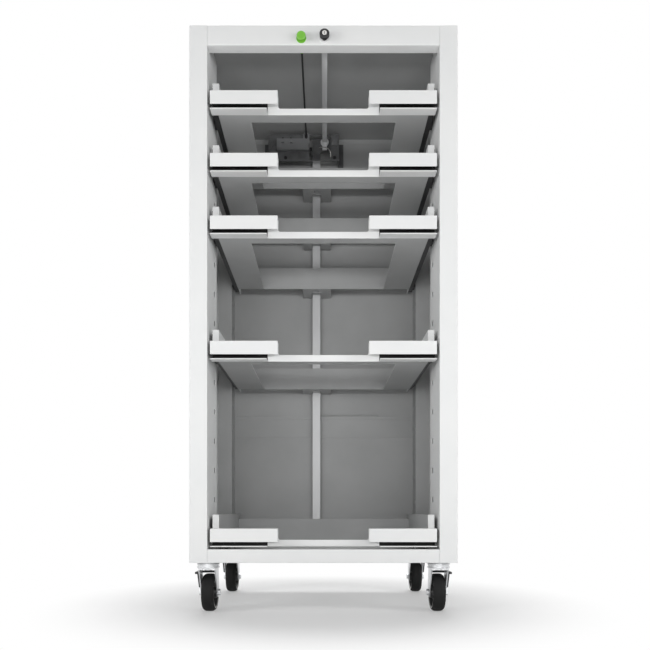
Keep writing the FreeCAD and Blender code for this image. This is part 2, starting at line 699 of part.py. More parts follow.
# --------------------------------------------------------------------------------------------------
# Slides and trays, drawn with a tray's floor at height 0 and then lifted to their slots
# --------------------------------------------------------------------------------------------------
def channel(web, way, lip, height):
    """Section of a slide member in the XZ plane: its web at "web", its lips going the way of "+" or "-"."""
    face = f"{web} {way} slide_stock"
    lips = f"{web} {way} {lip}"
    low = f"tray_seat - {height} / 2"
    high = f"tray_seat + {height} / 2"
    return [(web, low), (lips, low), (lips, low + " + slide_stock"), (face, low + " + slide_stock"),
            (face, high + " - slide_stock"), (lips, high + " - slide_stock"), (lips, high), (web, high)]


MEMBER_FRONT = "front_y + slide_setback"
MEMBER_REAR = MEMBER_FRONT + " + slide_length"


def ball_strips(body, left, right, inner_height, outer_height):
    """The ball cages above and below a member's rear end, running in the next member's lips."""
    rear = MEMBER_REAR + " - bearing_setback"
    reach = f"{outer_height} / 2 - slide_stock - running_gap"
    pad(body, "XZ", rear + " - bearing_length", rear,
        rectangle(left, right, f"tray_seat + {inner_height} / 2", f"tray_seat + {reach}"),
        rectangle(left, right, f"tray_seat - ({reach})", f"tray_seat - {inner_height} / 2"))


def lifted_pair(body, number, label):
    """Both sides' members as one node, at the height of the drawer's slots."""
    node(place(group(body, mirrored(body)), z=f"drawer_{number}_level"), f"drawer_{number}_{label}")


def slide_outer(number):
    """The fixed member, hung in the uprights by two hooked brackets."""
    body = new_body()
    pad(body, "XZ", MEMBER_FRONT, MEMBER_REAR, channel("slide_back", "-", "outer_lip", "slide_height"))
    setbacks = ("front_slot_setback", "rear_slot_setback")
    hook_face = "bay_half + upright_sheet + hook_reach"
    rest = "tray_seat - slot_height / 2"
    for low, high, width, bottom, top in (
            ("slide_back", "bay_half", "bracket_width",
             "tray_seat - bracket_height / 2", "tray_seat + bracket_height / 2"),
            ("bay_half", hook_face, "hook_width", rest, rest + " + hook_tab_height"),
            (hook_face, hook_face + " + hook_stock", "hook_width",
             rest + " - hook_drop", rest + " + hook_tab_height")):
        pad(body, "YZ", low, high, *[rectangle(
            f"front_y + {setback} - {width} / 2", f"front_y + {setback} + {width} / 2", bottom, top)
            for setback in setbacks])
    lifted_pair(body, number, "slide_outer")


def slide_middle(number):
    """The member between, which goes half as far as the tray."""
    body = new_body()
    web = "slide_back - middle_web_inset"
    pad(body, "XZ", MEMBER_FRONT, MEMBER_REAR, channel(web, "-", "middle_lip", "middle_height"))
    ball_strips(body, "slide_back - outer_lip + running_gap", web, "middle_height", "slide_height")
    lifted_pair(body, number, "slide_middle")


def slide_inner(number):
    """The member screwed to the tray's side."""
    body = new_body()
    pad(body, "XZ", MEMBER_FRONT, MEMBER_REAR, channel("tray_half", "+", "inner_lip", "inner_height"))
    ball_strips(body, "slide_back - middle_web_inset - middle_lip + running_gap",
                "tray_half + inner_lip", "inner_height", "middle_height")
    lifted_pair(body, number, "slide_inner")


def tray(number):
    """A folded tray: open floor, low rear wall, a front with two handle channels, and a rear catch."""
    body = new_body()
    front = "front_y + tray_setback"
    rear = "front_y + tray_rear"
    inner = "tray_half - tray_side_strip"
    pad(body, "XY", "0", "tray_sheet",
        rectangle("-tray_half", "tray_half", front, rear + " + tray_sheet"),
        rectangle("-(" + inner + ")", inner, front + " + tray_front_strip", rear))
    pad(body, "XY", "0", "tray_wall_height",
        rectangle("tray_half - tray_sheet", "tray_half", front, front + " + tray_wall_length"),
        rectangle("-tray_half", "tray_sheet - tray_half", front, front + " + tray_wall_length"))
    pad(body, "XY", "0", "tray_rear_height", rectangle(
        "-tray_half", "tray_half", rear, rear + " + tray_sheet"))
    right_half = [("handle_end", "0"), ("handle_end", "handle_top"),
                  ("tray_half + tray_flange", "handle_top"),
                  ("tray_half + tray_flange", "tray_wall_height"),
                  ("tray_half - tray_sheet", "tray_wall_height"), ("tray_half - tray_sheet", "handle_top"),
                  ("handle_start", "handle_top"), ("handle_start", "tray_lip_height")]
    left_half = [(f"-({across})", up) for across, up in reversed(right_half)]
    pad(body, "XZ", front, front + " + tray_sheet", right_half + left_half)
    corner_x = value("handle_start")
    corner_z = value("tray_lip_height")
    round_edges(body, "lip_radius", lambda c, d, n: near(abs(c.x), corner_x) and near(c.z, corner_z)
                and near(abs(d.y), 1))
    grip = pad(body, "YZ", "handle_start", "handle_end", [
        ("front_y", "handle_top - handle_height"),
        ("front_y + tray_sheet", "handle_top - handle_height"),
        ("front_y + tray_sheet", "handle_top - tray_sheet"),
        (front, "handle_top - tray_sheet"),
        (front, "handle_top"),
        ("front_y", "handle_top")])
    shelf = pad(body, "YZ", "grip_start", "handle_end", [
        ("front_y", "0"),
        (front, "0"),
        (front, "tray_sheet"),
        ("front_y + tray_sheet", "tray_sheet"),
        ("front_y + tray_sheet", "shelf_hem"),
        ("front_y", "shelf_hem")])
    mirror_feature(body, grip, shelf)
    node(place(body, z=f"drawer_{number}_level"), f"drawer_{number}_tray")


def catch(number):
    """Bracket on a tray's rear wall: notched round the locking bar, with a hole for its finger."""
    body = new_body()
    start = "front_y + tray_rear + tray_sheet"
    end = "back_y - catch_rear_gap"
    left = "catch_centre - catch_width / 2"
    right = "catch_centre + catch_width / 2"
    notch_front = "front_y + bar_setback - notch_front_gap"
    notch_left = "bar_centre - bar_width / 2 - notch_gap"
    notch_right = "bar_centre + bar_width / 2 + notch_gap"
    hole = start + " + catch_hole_setback"
    pad(body, "XY", "0", "tray_sheet", [
        (left, start), (right, start), (right, end), (notch_right, end), (notch_right, notch_front),
        (notch_left, notch_front), (notch_left, end), (left, end)],
        rectangle("bar_centre - catch_hole_width / 2", "bar_centre + catch_hole_width / 2",
                  hole, hole + " + catch_hole_length"))
    pad(body, "XY", "0", "catch_flange", rectangle(left, right, start, start + " + tray_sheet"))
    node(place(body, z=f"drawer_{number}_level"), f"drawer_{number}_catch")


# --------------------------------------------------------------------------------------------------
# Central lock: turning the knob lowers the locking bar, whose fingers drop into the trays' catches
# --------------------------------------------------------------------------------------------------
def lock_knob():
    """Bevelled round head with a key slot, on a stem that turns in the barrel."""
    body = new_body()
    front = "front_y - knob_reach"
    turned(body, "Y", [
        ("0", front),
        ("knob_diameter / 2 - head_bevel", front),
        ("knob_diameter / 2", front + " + head_bevel"),
        ("knob_diameter / 2", front + " + knob_head"),
        ("knob_stem_diameter / 2", front + " + knob_head"),
        ("knob_stem_diameter / 2", "front_y + knob_stem_setback"),
        ("0", "front_y + knob_stem_setback")])
    pocket(body, "XZ", front, front + " + key_slot_depth", rectangle(
        "-key_slot_width / 2", "key_slot_width / 2", "-key_slot_length / 2", "key_slot_length / 2"))
    node(place(body, x="lock_offset", z="axis_height"), "lock_knob")


def bushing(bore, outside, rear_side):
    """A bezel and sleeve through the fascia, with its nut behind; "rear_side" ends the sleeve's section."""
    body = new_body()
    bezel = "front_y - bezel_thickness"
    turned(body, "Y", [
        (bore, bezel),
        ("bezel_diameter / 2", bezel),
        ("bezel_diameter / 2", "front_y"),
        (outside, "front_y")] + rear_side)
    nut = hex_bar("y", "nut_width", "front_y + panel_sheet", "nut_thickness")
    hole = round_bar("y", outside, "front_y", "nut_thickness + 2 * panel_sheet")
    return joined(body, less(nut, hole))


def lock_barrel():
    """The fixed sleeve of the lock."""
    bore = "knob_stem_diameter / 2 + shaft_gap"
    outside = "barrel_diameter / 2"
    rear = "front_y + barrel_setback"
    barrel = bushing(bore, outside, [(outside, rear), (bore, rear)])
    node(place(barrel, x="lock_offset", z="axis_height"), "lock_barrel")


def lock_rod():
    """A flat bar from the stem to the back, ending in a crank with a pin."""
    flat = block(("lock_offset - rod_width / 2", "lock_offset + rod_width / 2"),
                 ("front_y + knob_stem_setback", "front_y + crank_setback"),
                 ("axis_height - rod_thickness / 2", "axis_height + rod_thickness / 2"))
    start = "front_y + crank_setback"
    disc = round_bar("y", "crank_radius", start, "crank_thickness", x="lock_offset", z="axis_height")
    tail = block(("lock_offset - rod_width / 2", "lock_offset + rod_width / 2"),
                 (start, start + " + crank_thickness"),
                 ("axis_height - crank_tail", "axis_height"))
    pin = round_bar("y", "crank_pin_radius", start + " + crank_thickness",
                    "bar_setback + 2 * bar_stock - crank_setback - crank_thickness",
                    x="lock_offset + crank_pin_offset", z="axis_height + crank_pin_offset")
    node(joined(flat, disc, tail, pin), "lock_rod")


def locking_bar():
    """A channel down the back, open to the rear."""
    body = new_body()
    left = "bar_centre - bar_width / 2"
    right = "bar_centre + bar_width / 2"
    front = "front_y + bar_setback"
    rear = front + " + bar_depth"
    face = front + " + bar_stock"
    pad(body, "XY", "drawer_5_level + bar_foot", "axis_height + head_rise - head_height", [
        (left, front), (right, front), (right, rear), (right + " - bar_stock", rear),
        (right + " - bar_stock", face), (left + " + bar_stock", face), (left + " + bar_stock", rear),
        (left, rear)])
    node(body, "locking_bar")


def bar_head():
    """A plate lapped on the bar's upper end, with a slot for the crank's pin and an ear for the pawl."""
    body = new_body()
    front = "front_y + bar_setback"
    left = "bar_centre - bar_width / 2"
    right = "bar_centre + bar_width / 2"
    head_right = "lock_offset + head_reach"
    top = "axis_height + head_rise"
    ear_high = "axis_height - ear_drop"
    ear_low = ear_high + " - ear_height"
    slot_reach = "(crank_pin_radius + crank_slot_gap)"
    pad(body, "XZ", front + " - bar_stock", front, [
        (left, ear_low + " - head_lap"), (right, ear_low + " - head_lap"), (right, top + " - head_height"),
        (head_right, top + " - head_height"), (head_right, top), (left, top), (left, ear_high),
        (left + " - ear_length", ear_high), (left + " - ear_length", ear_low), (left, ear_low)],
        rectangle("lock_offset + crank_pin_offset - " + slot_reach,
                  "lock_offset + crank_throw + " + slot_reach,
                  "axis_height + crank_pin_offset - " + slot_reach,
                  "axis_height + crank_pin_offset + " + slot_reach))
    node(body, "bar_head")


def bar_fingers():
    """A finger on the bar over the hole of each tray's catch."""
    middle = "front_y + tray_rear + tray_sheet + catch_hole_setback + catch_hole_length / 2"
    fingers = []
    for number in DRAWERS:
        body = new_body()
        tip = f"drawer_{number}_level + finger_rise"
        arm = f"drawer_{number}_level + finger_arm_rise"
        pad(body, "YZ", "bar_centre - finger_width / 2", "bar_centre + finger_width / 2", [
            (middle + " - finger_length / 2", tip),
            (middle + " + finger_length / 2", tip),
            (middle + " + finger_length / 2", arm),
            ("front_y + bar_setback", arm),
            ("front_y + bar_setback", arm + " + finger_arm_height"),
            (middle + " - finger_length / 2", arm + " + finger_arm_height")])
        fingers.append(body)
    node(group(*fingers), "bar_fingers")


def bar_guides():
    """Glide blocks on the back panel, inside the locking bar's channel."""
    half = "bar_width / 2 - bar_stock - running_gap"
    guides = []
    for number in (1, 2, 3):
        span = (f"guide_{number}_height - guide_height / 2", f"guide_{number}_height + guide_height / 2")
        guides.append(block((f"bar_centre - ({half})", f"bar_centre + ({half})"),
                            ("front_y + bar_setback + bar_stock + running_gap", "back_front_y"), span))
    node(group(*guides), "bar_guides")


# --------------------------------------------------------------------------------------------------
# Release button: it pushes a wire through the cable, and the wire turns the pawl over the bar's ear
# --------------------------------------------------------------------------------------------------
def release_button():
    """Bevelled head and stem, with the push wire on its rear end."""
    body = new_body()
    front = "front_y - button_reach"
    turned(body, "Y", [
        ("0", front),
        ("button_diameter / 2 - head_bevel", front),
        ("button_diameter / 2", front + " + head_bevel"),
        ("button_diameter / 2", front + " + button_head"),
        ("button_stem_diameter / 2", front + " + button_head"),
        ("button_stem_diameter / 2", "front_y + button_stem_setback"),
        ("wire_diameter / 2", "front_y + button_stem_setback"),
        ("wire_diameter / 2", "back_y - wire_inset"),
        ("0", "back_y - wire_inset")])
    node(place(body, x="button_offset", z="axis_height"), "release_button")


def button_collar():
    """The fixed sleeve of the button, which also holds the cable's front ferrule."""
    bore = "button_stem_diameter / 2 + shaft_gap"
    seat = "ferrule_diameter / 2 + shaft_gap"
    outside = "collar_diameter / 2"
    rear = "front_y + collar_setback"
    step = "front_y + cable_start"
    collar = bushing(bore, outside, [(outside, rear), (seat, rear), (seat, step), (bore, step)])
    node(place(collar, x="button_offset", z="axis_height"), "button_collar")


def release_cable():
    """A straight sheath under the top sheet, with a ferrule at each end and a bore for the wire."""
    body = new_body()
    start = "front_y + cable_start"
    end = "front_y + cable_end"
    turned(body, "Y", [
        ("wire_diameter / 2 + wire_gap", start),
        ("ferrule_diameter / 2", start),
        ("ferrule_diameter / 2", start + " + ferrule_length"),
        ("cable_diameter / 2", start + " + ferrule_length"),
        ("cable_diameter / 2", end + " - ferrule_length"),
        ("ferrule_diameter / 2", end + " - ferrule_length"),
        ("ferrule_diameter / 2", end),
        ("wire_diameter / 2 + wire_gap", end)])
    node(place(body, x="button_offset", z="axis_height"), "release_cable")


def latch_plate():
    """A folded plate on the back panel, with a window for the crank and a shelf for the pawl."""
    body = new_body()
    front = "front_y + latch_plate_setback"
    face = front + " + latch_sheet"
    low = "top_height - latch_plate_bottom"
    high = "top_height - latch_plate_top"
    pad(body, "XZ", front, face,
        rectangle("latch_plate_left", "latch_plate_right", low, high),
        rectangle("window_left", "window_right", "top_height - window_bottom", "top_height - window_top"))
    pad(body, "XY", low, high,
        rectangle("latch_plate_left", "latch_plate_left + latch_sheet", front, "back_front_y"),
        rectangle("latch_plate_right - latch_sheet", "latch_plate_right", front, "back_front_y"))
    pad(body, "XY", low, high,
        rectangle("latch_plate_left - plate_foot", "latch_plate_left",
                  "back_front_y - latch_sheet", "back_front_y"),
        rectangle("latch_plate_right", "latch_plate_right + plate_foot",
                  "back_front_y - latch_sheet", "back_front_y"))
    pad(body, "XZ", front + " - pad_thickness", front, rectangle(
        "pad_left", "pad_left + pad_size", "top_height - pad_drop - pad_size", "top_height - pad_drop"))
    shelf_top = "top_height - pawl_drop - pawl_thickness - running_gap"
    pad(body, "XY", shelf_top + " - pawl_shelf", shelf_top, rectangle(
        "pawl_pivot_offset - pawl_shelf_width / 2", "pawl_pivot_offset + pawl_shelf_width / 2",
        face, "front_y + pawl_pivot_setback + pawl_radius"))
    holes = [round_bar("y", "plate_hole_diameter / 2", front + " - latch_sheet", "3 * latch_sheet",
                       x=across, z="top_height - plate_hole_drop")
             for across in ("plate_hole_left", "plate_hole_right")]
    wire_hole = round_bar("y", "wire_diameter", front + " - latch_sheet", "3 * latch_sheet",
                          x="button_offset", z="axis_height")
    pin = round_bar("z", "pawl_pin_radius", shelf_top, "running_gap + pawl_thickness + pawl_pin_rise",
                    x="pawl_pivot_offset", y="front_y + pawl_pivot_setback")
    node(joined(less(body, wire_hole, *holes), pin), "latch_plate")


def latch_block():
    """The block on the latch plate, with two screw recesses and the clip for the cable's rear ferrule."""
    front = "front_y + latch_plate_setback - block_thickness"
    rear = "front_y + latch_plate_setback"
    top = "top_height - block_drop"
    solid = block(("block_left", "block_left + block_length"), (front, rear),
                  (top + " - block_height", top))
    clip = block(("button_offset - clip_width / 2", "button_offset + clip_width / 2"),
                 (front, rear), (top + " - clip_height", top + " + clip_height"))
    recesses = [round_bar("y", "plate_hole_diameter / 2", front + " - block_hole_depth",
                          "2 * block_hole_depth",
                          x="block_left + block_hole_start" + step, z=top + " - block_hole_drop")
                for step in ("", " + block_hole_spacing")]
    seat = round_bar("y", "ferrule_diameter / 2 + shaft_gap", front + " - block_thickness",
                     "cable_end - latch_plate_setback + 2 * block_thickness",
                     x="button_offset", z="axis_height")
    passage = round_bar("y", "wire_diameter", front, "2 * block_thickness",
                        x="button_offset", z="axis_height")
    node(less(joined(solid, clip), seat, passage, *recesses), "latch_block")


def release_pawl():
    """A flat arm on the latch plate's pin, whose nose stands over the ear of the locking bar."""
    low = "top_height - pawl_drop - pawl_thickness"
    high = "top_height - pawl_drop"
    arm_front = "front_y + pawl_arm_front"
    arm = block(("pawl_pivot_offset", "pawl_nose_right"), (arm_front, arm_front + " + pawl_arm_depth"),
                (low, high))
    nose = block(("pawl_nose_left", "pawl_nose_right"), (arm_front, "back_y - pawl_nose_inset"),
                 (low, high))
    eye = round_bar("z", "pawl_radius", low, "pawl_thickness",
                    x="pawl_pivot_offset", y="front_y + pawl_pivot_setback")
    tab = block(("button_offset - wire_diameter", "button_offset + wire_diameter"),
                (arm_front, arm_front + " + pawl_thickness"), (low, "axis_height + wire_diameter"))
    hole = round_bar("z", "pawl_pin_radius + shaft_gap", low + " - pawl_thickness", "3 * pawl_thickness",
                     x="pawl_pivot_offset", y="front_y + pawl_pivot_setback")
    node(less(joined(arm, nose, eye, tab), hole), "release_pawl")


# --------------------------------------------------------------------------------------------------
# Casters, drawn round the swivel axis with the wheel trailing to the rear, then placed
# --------------------------------------------------------------------------------------------------
def caster_stem():
    """Disc under the base pan, stem and nut through it, and the pin that the fork swivels on."""
    body = new_body()
    under = "caster_height - king_disc"
    crown_low = "fork_top - fork_stock"
    turned(body, "Z", [
        ("0", crown_low + " - running_gap - king_foot"),
        ("king_foot_diameter / 2", crown_low + " - running_gap - king_foot"),
        ("king_foot_diameter / 2", crown_low + " - running_gap"),
        ("king_pin_diameter / 2", crown_low + " - running_gap"),
        ("king_pin_diameter / 2", under),
        ("king_disc_diameter / 2", under),
        ("king_disc_diameter / 2", "caster_height"),
        ("king_diameter / 2", "caster_height"),
        ("king_diameter / 2", "caster_height + king_rise"),
        ("0", "caster_height + king_rise")])
    nut = hex_bar("z", "king_nut_diameter", "caster_height + panel_sheet", "king_nut")
    return joined(body, nut)


def fork():
    """A crown with its ball race above it and a leg on each side of the wheel."""
    body = new_body()
    legs = [pad(body, "YZ", "fork_inner", "fork_outer", [
        ("-fork_leg_width / 2", "fork_top"),
        ("caster_trail - fork_leg_end", "wheel_radius"),
        ("caster_trail + fork_leg_end", "wheel_radius"),
        ("fork_leg_width / 2", "fork_top")])]
    mirror_body = mirrored(body)
    crown = block(("-fork_outer", "fork_outer"), ("-fork_leg_width / 2", "fork_leg_width / 2"),
                  ("fork_top - fork_stock", "fork_top"))
    ends = [round_bar("x", "fork_leg_end", start, "fork_stock", y="caster_trail", z="wheel_radius")
            for start in ("fork_inner", "-fork_outer")]
    race = round_bar("z", "crown_diameter / 2", "fork_top",
                     "caster_height - king_disc - running_gap - fork_top")
    pin_hole = round_bar("z", "king_pin_diameter / 2 + shaft_gap", "fork_top - 2 * fork_stock",
                         "2 * fork_stock + caster_height - fork_top")
    axle_hole = round_bar("x", "axle_diameter / 2", "-2 * fork_outer", "4 * fork_outer",
                          y="caster_trail", z="wheel_radius")
    brake_pin = round_bar("x", "brake_pin_radius", "fork_outer", "brake_gap + brake_thickness",
                          y="brake_pivot_offset", z="brake_pivot_height")
    steel = less(joined(body, mirror_body, crown, *ends, race), pin_hole, axle_hole)
    return joined(steel, brake_pin)


def axle():
    """Bolt and nut through the fork's legs."""
    length = "fork_outer + axle_head"
    shaft = round_bar("x", "axle_diameter / 2", "-fork_outer", "2 * fork_outer")
    head = hex_bar("x", "axle_head_diameter", "fork_outer", "axle_head")
    nut = hex_bar("x", "axle_head_diameter", f"-({length})", "axle_head")
    return joined(shaft, head, nut)


def rim():
    """Hub, disc and rim ring of a wheel, turned round its axle."""
    body = new_body()
    bore = "axle_diameter / 2 + shaft_gap"
    hub = "fork_inner - hub_gap"
    seat = "wheel_radius - tyre_thickness"
    side = "tyre_width / 2 - rim_inset"
    right = [(hub, bore), (hub, "hub_diameter / 2"), ("rim_web / 2", "hub_diameter / 2"),
             ("rim_web / 2", seat + " - rim_flange"), (side, seat + " - rim_flange"), (side, seat)]
    left = [(f"-({along})", radius) for along, radius in reversed(right)]
    turned(body, "X", right + left)
    return body


def tyre():
    """Tread with bevelled shoulders."""
    body = new_body()
    side = "tyre_width / 2"
    right = [(side, "wheel_radius - tyre_thickness"), (side, "wheel_radius - tyre_bevel"),
             (f"{side} - tyre_bevel", "wheel_radius")]
    left = [(f"-({along})", radius) for along, radius in reversed(right)]
    turned(body, "X", right + left)
    return body


def brake():
    """Lever on the outside of a fork leg, with a pedal above and a shoe behind it, over the tread."""
    body = new_body()
    inner = "fork_outer + brake_gap"
    outer = inner + " + brake_thickness"
    shoe_low = "wheel_diameter + brake_shoe_gap"
    shoe_high = shoe_low + " + brake_shoe_height"
    pad(body, "YZ", inner, outer, [
        ("brake_bottom_offset - brake_foot_width / 2", "wheel_radius + brake_bottom_rise"),
        ("brake_bottom_offset + brake_foot_width / 2", "wheel_radius + brake_bottom_rise"),
        ("brake_shoe_offset", shoe_low + " - brake_shoe_height"),
        ("brake_shoe_offset + brake_shoe_length", shoe_low),
        ("brake_shoe_offset + brake_shoe_length", shoe_high),
        ("brake_top_offset - brake_top_width / 2", shoe_high),
        ("brake_top_offset - brake_top_width / 2", shoe_low)])
    pad(body, "YZ", "brake_thickness - fork_inner", inner, rectangle(
        "brake_shoe_offset", "brake_shoe_offset + brake_shoe_length", shoe_low, shoe_high))
    pad(body, "YZ", outer, outer + " + brake_pedal_reach", rectangle(
        "brake_top_offset - brake_top_width / 2", "brake_shoe_offset + brake_shoe_length",
        shoe_low, shoe_high))
    hole = round_bar("x", "brake_pin_radius + shaft_gap", "fork_outer", "brake_gap + 2 * brake_thickness",
                     y="brake_pivot_offset", z="brake_pivot_height")
    return less(body, hole)


def casters():
    """Four casters: the right ones are placed, the left ones mirror them."""
    stems = []
    for end, y in (("front", "front_y + caster_inset_end"), ("rear", "back_y - caster_inset_end")):
        stem = place(caster_stem(), x="caster_x", y=y)
        stems += [stem, mirrored(stem)]
        wheel_y = y + " + caster_trail"
        for label, piece, piece_y, z in (("fork", fork(), y, "0"), ("brake", brake(), y, "0"),
                                         ("axle", axle(), wheel_y, "wheel_radius"),
                                         ("rim", rim(), wheel_y, "wheel_radius"),
                                         ("tyre", tyre(), wheel_y, "wheel_radius")):
            right = place(piece, x="caster_x", y=piece_y, z=z)
            node(right, f"{label}_{end}_right")
            node(mirrored(right), f"{label}_{end}_left")
    node(group(*stems), "caster_stems")


# --------------------------------------------------------------------------------------------------
# The whole cabinet
# --------------------------------------------------------------------------------------------------
side_panels()
front_uprights()
rear_uprights()
top_panel()
base_pan()
back_panels()
for number in DRAWERS:
    slide_outer(number)
    slide_middle(number)
    slide_inner(number)
    tray(number)
    catch(number)
lock_barrel()
lock_knob()
lock_rod()
locking_bar()
bar_head()
bar_fingers()
bar_guides()
button_collar()
release_button()
release_cable()
latch_plate()
latch_block()
release_pawl()
casters()

doc.recompute()
for thing in doc.Objects:
    if "Invalid" in thing.State or "Error" in thing.State:
        raise RuntimeError(f"{thing.Label} is in state {thing.State}")
    if hasattr(thing, "Shape") and (thing.Shape.isNull() or not thing.Shape.isValid()):
        raise RuntimeError(f"{thing.Label} has no valid shape")
for piece in nodes:
    piece.Shape.exportStep(f"parts/{piece.Label}.step")
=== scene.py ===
# %% [markdown]
# # An open tray cabinet on casters
#
# A tall steel cabinet with an open front holds five trays that run out on
# slides. A lock and a release button in its top rail work a bar at the back
# that keeps the trays in, and the whole cabinet rolls on four small casters.
#
# The solids of the cabinet come ready made, each in its true place. This
# lesson gives them their finishes, adds the detail that only looks need, and
# sets up a plain studio. The frame is loaded first, so that everything after
# it can be measured from the real parts.

# %% Load the cabinet
import json
from math import pi, radians

import bmesh
import bpy
from mathutils import Matrix, Vector

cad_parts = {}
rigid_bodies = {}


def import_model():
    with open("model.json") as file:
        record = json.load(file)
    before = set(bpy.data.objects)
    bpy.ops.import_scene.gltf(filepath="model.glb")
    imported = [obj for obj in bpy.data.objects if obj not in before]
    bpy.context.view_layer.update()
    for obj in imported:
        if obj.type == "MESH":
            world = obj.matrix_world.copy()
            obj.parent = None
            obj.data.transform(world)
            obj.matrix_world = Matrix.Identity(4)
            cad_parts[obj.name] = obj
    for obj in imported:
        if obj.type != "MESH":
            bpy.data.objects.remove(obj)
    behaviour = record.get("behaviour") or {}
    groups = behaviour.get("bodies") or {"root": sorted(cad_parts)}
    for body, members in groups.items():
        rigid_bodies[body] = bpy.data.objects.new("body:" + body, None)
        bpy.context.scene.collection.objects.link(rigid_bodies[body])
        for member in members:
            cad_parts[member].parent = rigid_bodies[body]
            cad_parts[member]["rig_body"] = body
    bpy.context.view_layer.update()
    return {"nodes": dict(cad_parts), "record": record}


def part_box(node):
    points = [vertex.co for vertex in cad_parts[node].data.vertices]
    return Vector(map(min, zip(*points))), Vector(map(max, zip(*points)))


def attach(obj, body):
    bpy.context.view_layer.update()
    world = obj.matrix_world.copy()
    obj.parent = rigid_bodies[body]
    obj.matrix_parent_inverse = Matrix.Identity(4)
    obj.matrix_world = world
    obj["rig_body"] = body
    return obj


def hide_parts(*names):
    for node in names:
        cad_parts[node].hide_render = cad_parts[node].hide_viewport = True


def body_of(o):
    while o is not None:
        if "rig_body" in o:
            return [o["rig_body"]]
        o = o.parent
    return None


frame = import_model()
nodes = frame["nodes"]

# %% [markdown]
# ## The camera
#
# The cabinet is seen straight from the front, from close by and rather low.
# Its upright lines stay upright, so the camera looks level, and the lens is
# shifted upwards instead of being tilted. A tilted camera would be simpler,
# but the sides of the cabinet would then lean towards each other.

# %% Camera
EYE = Vector((0.003, -1.492, 0.201))
camera_data = bpy.data.cameras.new("camera")
camera_data.sensor_width = 36
camera_data.lens = 37.3
camera_data.shift_y = 0.285
camera = bpy.data.objects.new("camera", camera_data)
camera.location = EYE
camera.rotation_euler = (radians(90), 0, 0)
bpy.context.scene.collection.objects.link(camera)
bpy.context.scene.camera = camera

# %% [markdown]
# ## What looks white
#
# A studio's walls and floor look evenly white, but they must not light the
# cabinet as if they were lamps. Cycles tells a material which kind of ray has
# met it. Rays that come from the camera, from a glossy surface or through
# glass are the ones that show a picture of the place they meet, so the white
# is kept for them. Brighter lamps would whiten the floor too, but they would
# wash out the cabinet's pale paint.

# %% Rays that show a picture
def picture_rays(tree):
    """A socket that is 1 for camera, glossy and transmission rays, and 0 for the rest."""
    path = tree.nodes.new("ShaderNodeLightPath")
    mirrored = tree.nodes.new("ShaderNodeMath")
    mirrored.operation = "MAXIMUM"
    shown = tree.nodes.new("ShaderNodeMath")
    shown.operation = "MAXIMUM"
    tree.links.new(path.outputs["Is Glossy Ray"], mirrored.inputs[0])
    tree.links.new(path.outputs["Is Transmission Ray"], mirrored.inputs[1])
    tree.links.new(mirrored.outputs[0], shown.inputs[0])
    tree.links.new(path.outputs["Is Camera Ray"], shown.inputs[1])
    return shown.outputs[0]


print("three kinds of ray show a picture: camera, glossy and transmission")

# %% [markdown]
# ## The floor
#
# The cabinet stands on a white studio floor that runs out of sight. The floor
# is one large square with a dull white coat, and it takes the shadow. Away from
# the cabinet it slowly begins to shine, so that it meets the white background
# without a line. A curved wall would do the same with more to build.

# %% Floor
FLOOR_REACH = 12.0
PLAIN_RADIUS = 0.30
WHITE_RADIUS = 0.62
LEAST_WHITE = 0.25
floor_mesh = bmesh.new()
bmesh.ops.create_grid(floor_mesh, x_segments=1, y_segments=1, size=FLOOR_REACH)
floor_data = bpy.data.meshes.new("studio_floor")
floor_mesh.to_mesh(floor_data)
floor_mesh.free()
floor = bpy.data.objects.new("studio_floor", floor_data)
bpy.context.scene.collection.objects.link(floor)
print("floor", 2 * FLOOR_REACH, "m across")

# %% [markdown]
# ## The floor's coat
#
# The share of shine grows with the distance from the middle of the floor, in
# a smooth step between two rings. Inside the first ring only a little shines,
# and the rest is a dull coat in which the shadow shows.

# %% Coat the floor
floor_coat = bpy.data.materials.new("studio_white")
floor_coat.use_nodes = True
tree = floor_coat.node_tree
shader = tree.nodes["Principled BSDF"]
shader.inputs["Base Color"].default_value = (0.93, 0.93, 0.93, 1)
shader.inputs["Roughness"].default_value = 0.9
shader.inputs["Specular IOR Level"].default_value = 0.1
place = tree.nodes.new("ShaderNodeTexCoord")
distance = tree.nodes.new("ShaderNodeVectorMath")
distance.operation = "LENGTH"
fade = tree.nodes.new("ShaderNodeMapRange")
fade.interpolation_type = "SMOOTHSTEP"
fade.inputs["From Min"].default_value = PLAIN_RADIUS
fade.inputs["From Max"].default_value = WHITE_RADIUS
fade.inputs["To Min"].default_value = LEAST_WHITE
share = tree.nodes.new("ShaderNodeMath")
share.operation = "MULTIPLY"
shine = tree.nodes.new("ShaderNodeEmission")
total = tree.nodes.new("ShaderNodeMixShader")
tree.links.new(place.outputs["Object"], distance.inputs[0])
tree.links.new(distance.outputs["Value"], fade.inputs["Value"])
tree.links.new(fade.outputs["Result"], share.inputs[0])
tree.links.new(picture_rays(tree), share.inputs[1])
tree.links.new(share.outputs[0], total.inputs["Fac"])
tree.links.new(shader.outputs[0], total.inputs[1])
tree.links.new(shine.outputs[0], total.inputs[2])
tree.links.new(total.outputs[0], tree.nodes["Material Output"].inputs["Surface"])
floor_data.materials.append(floor_coat)
print("white from", WHITE_RADIUS, "m outwards")

# %% [markdown]
# ## The lamps
#
# One wide soft lamp hangs high up behind the cabinet. It lights the top and
# the floor, and lays the shadow under the casters. A low strip in front lights
# the fronts of the trays and fades towards the depth of each bay, which is
# what shows how deep they are. A smaller lamp at each side keeps the edges of
# the front as bright as its middle. One large lamp in front would be simpler,
# but it would light the bays to their back walls.

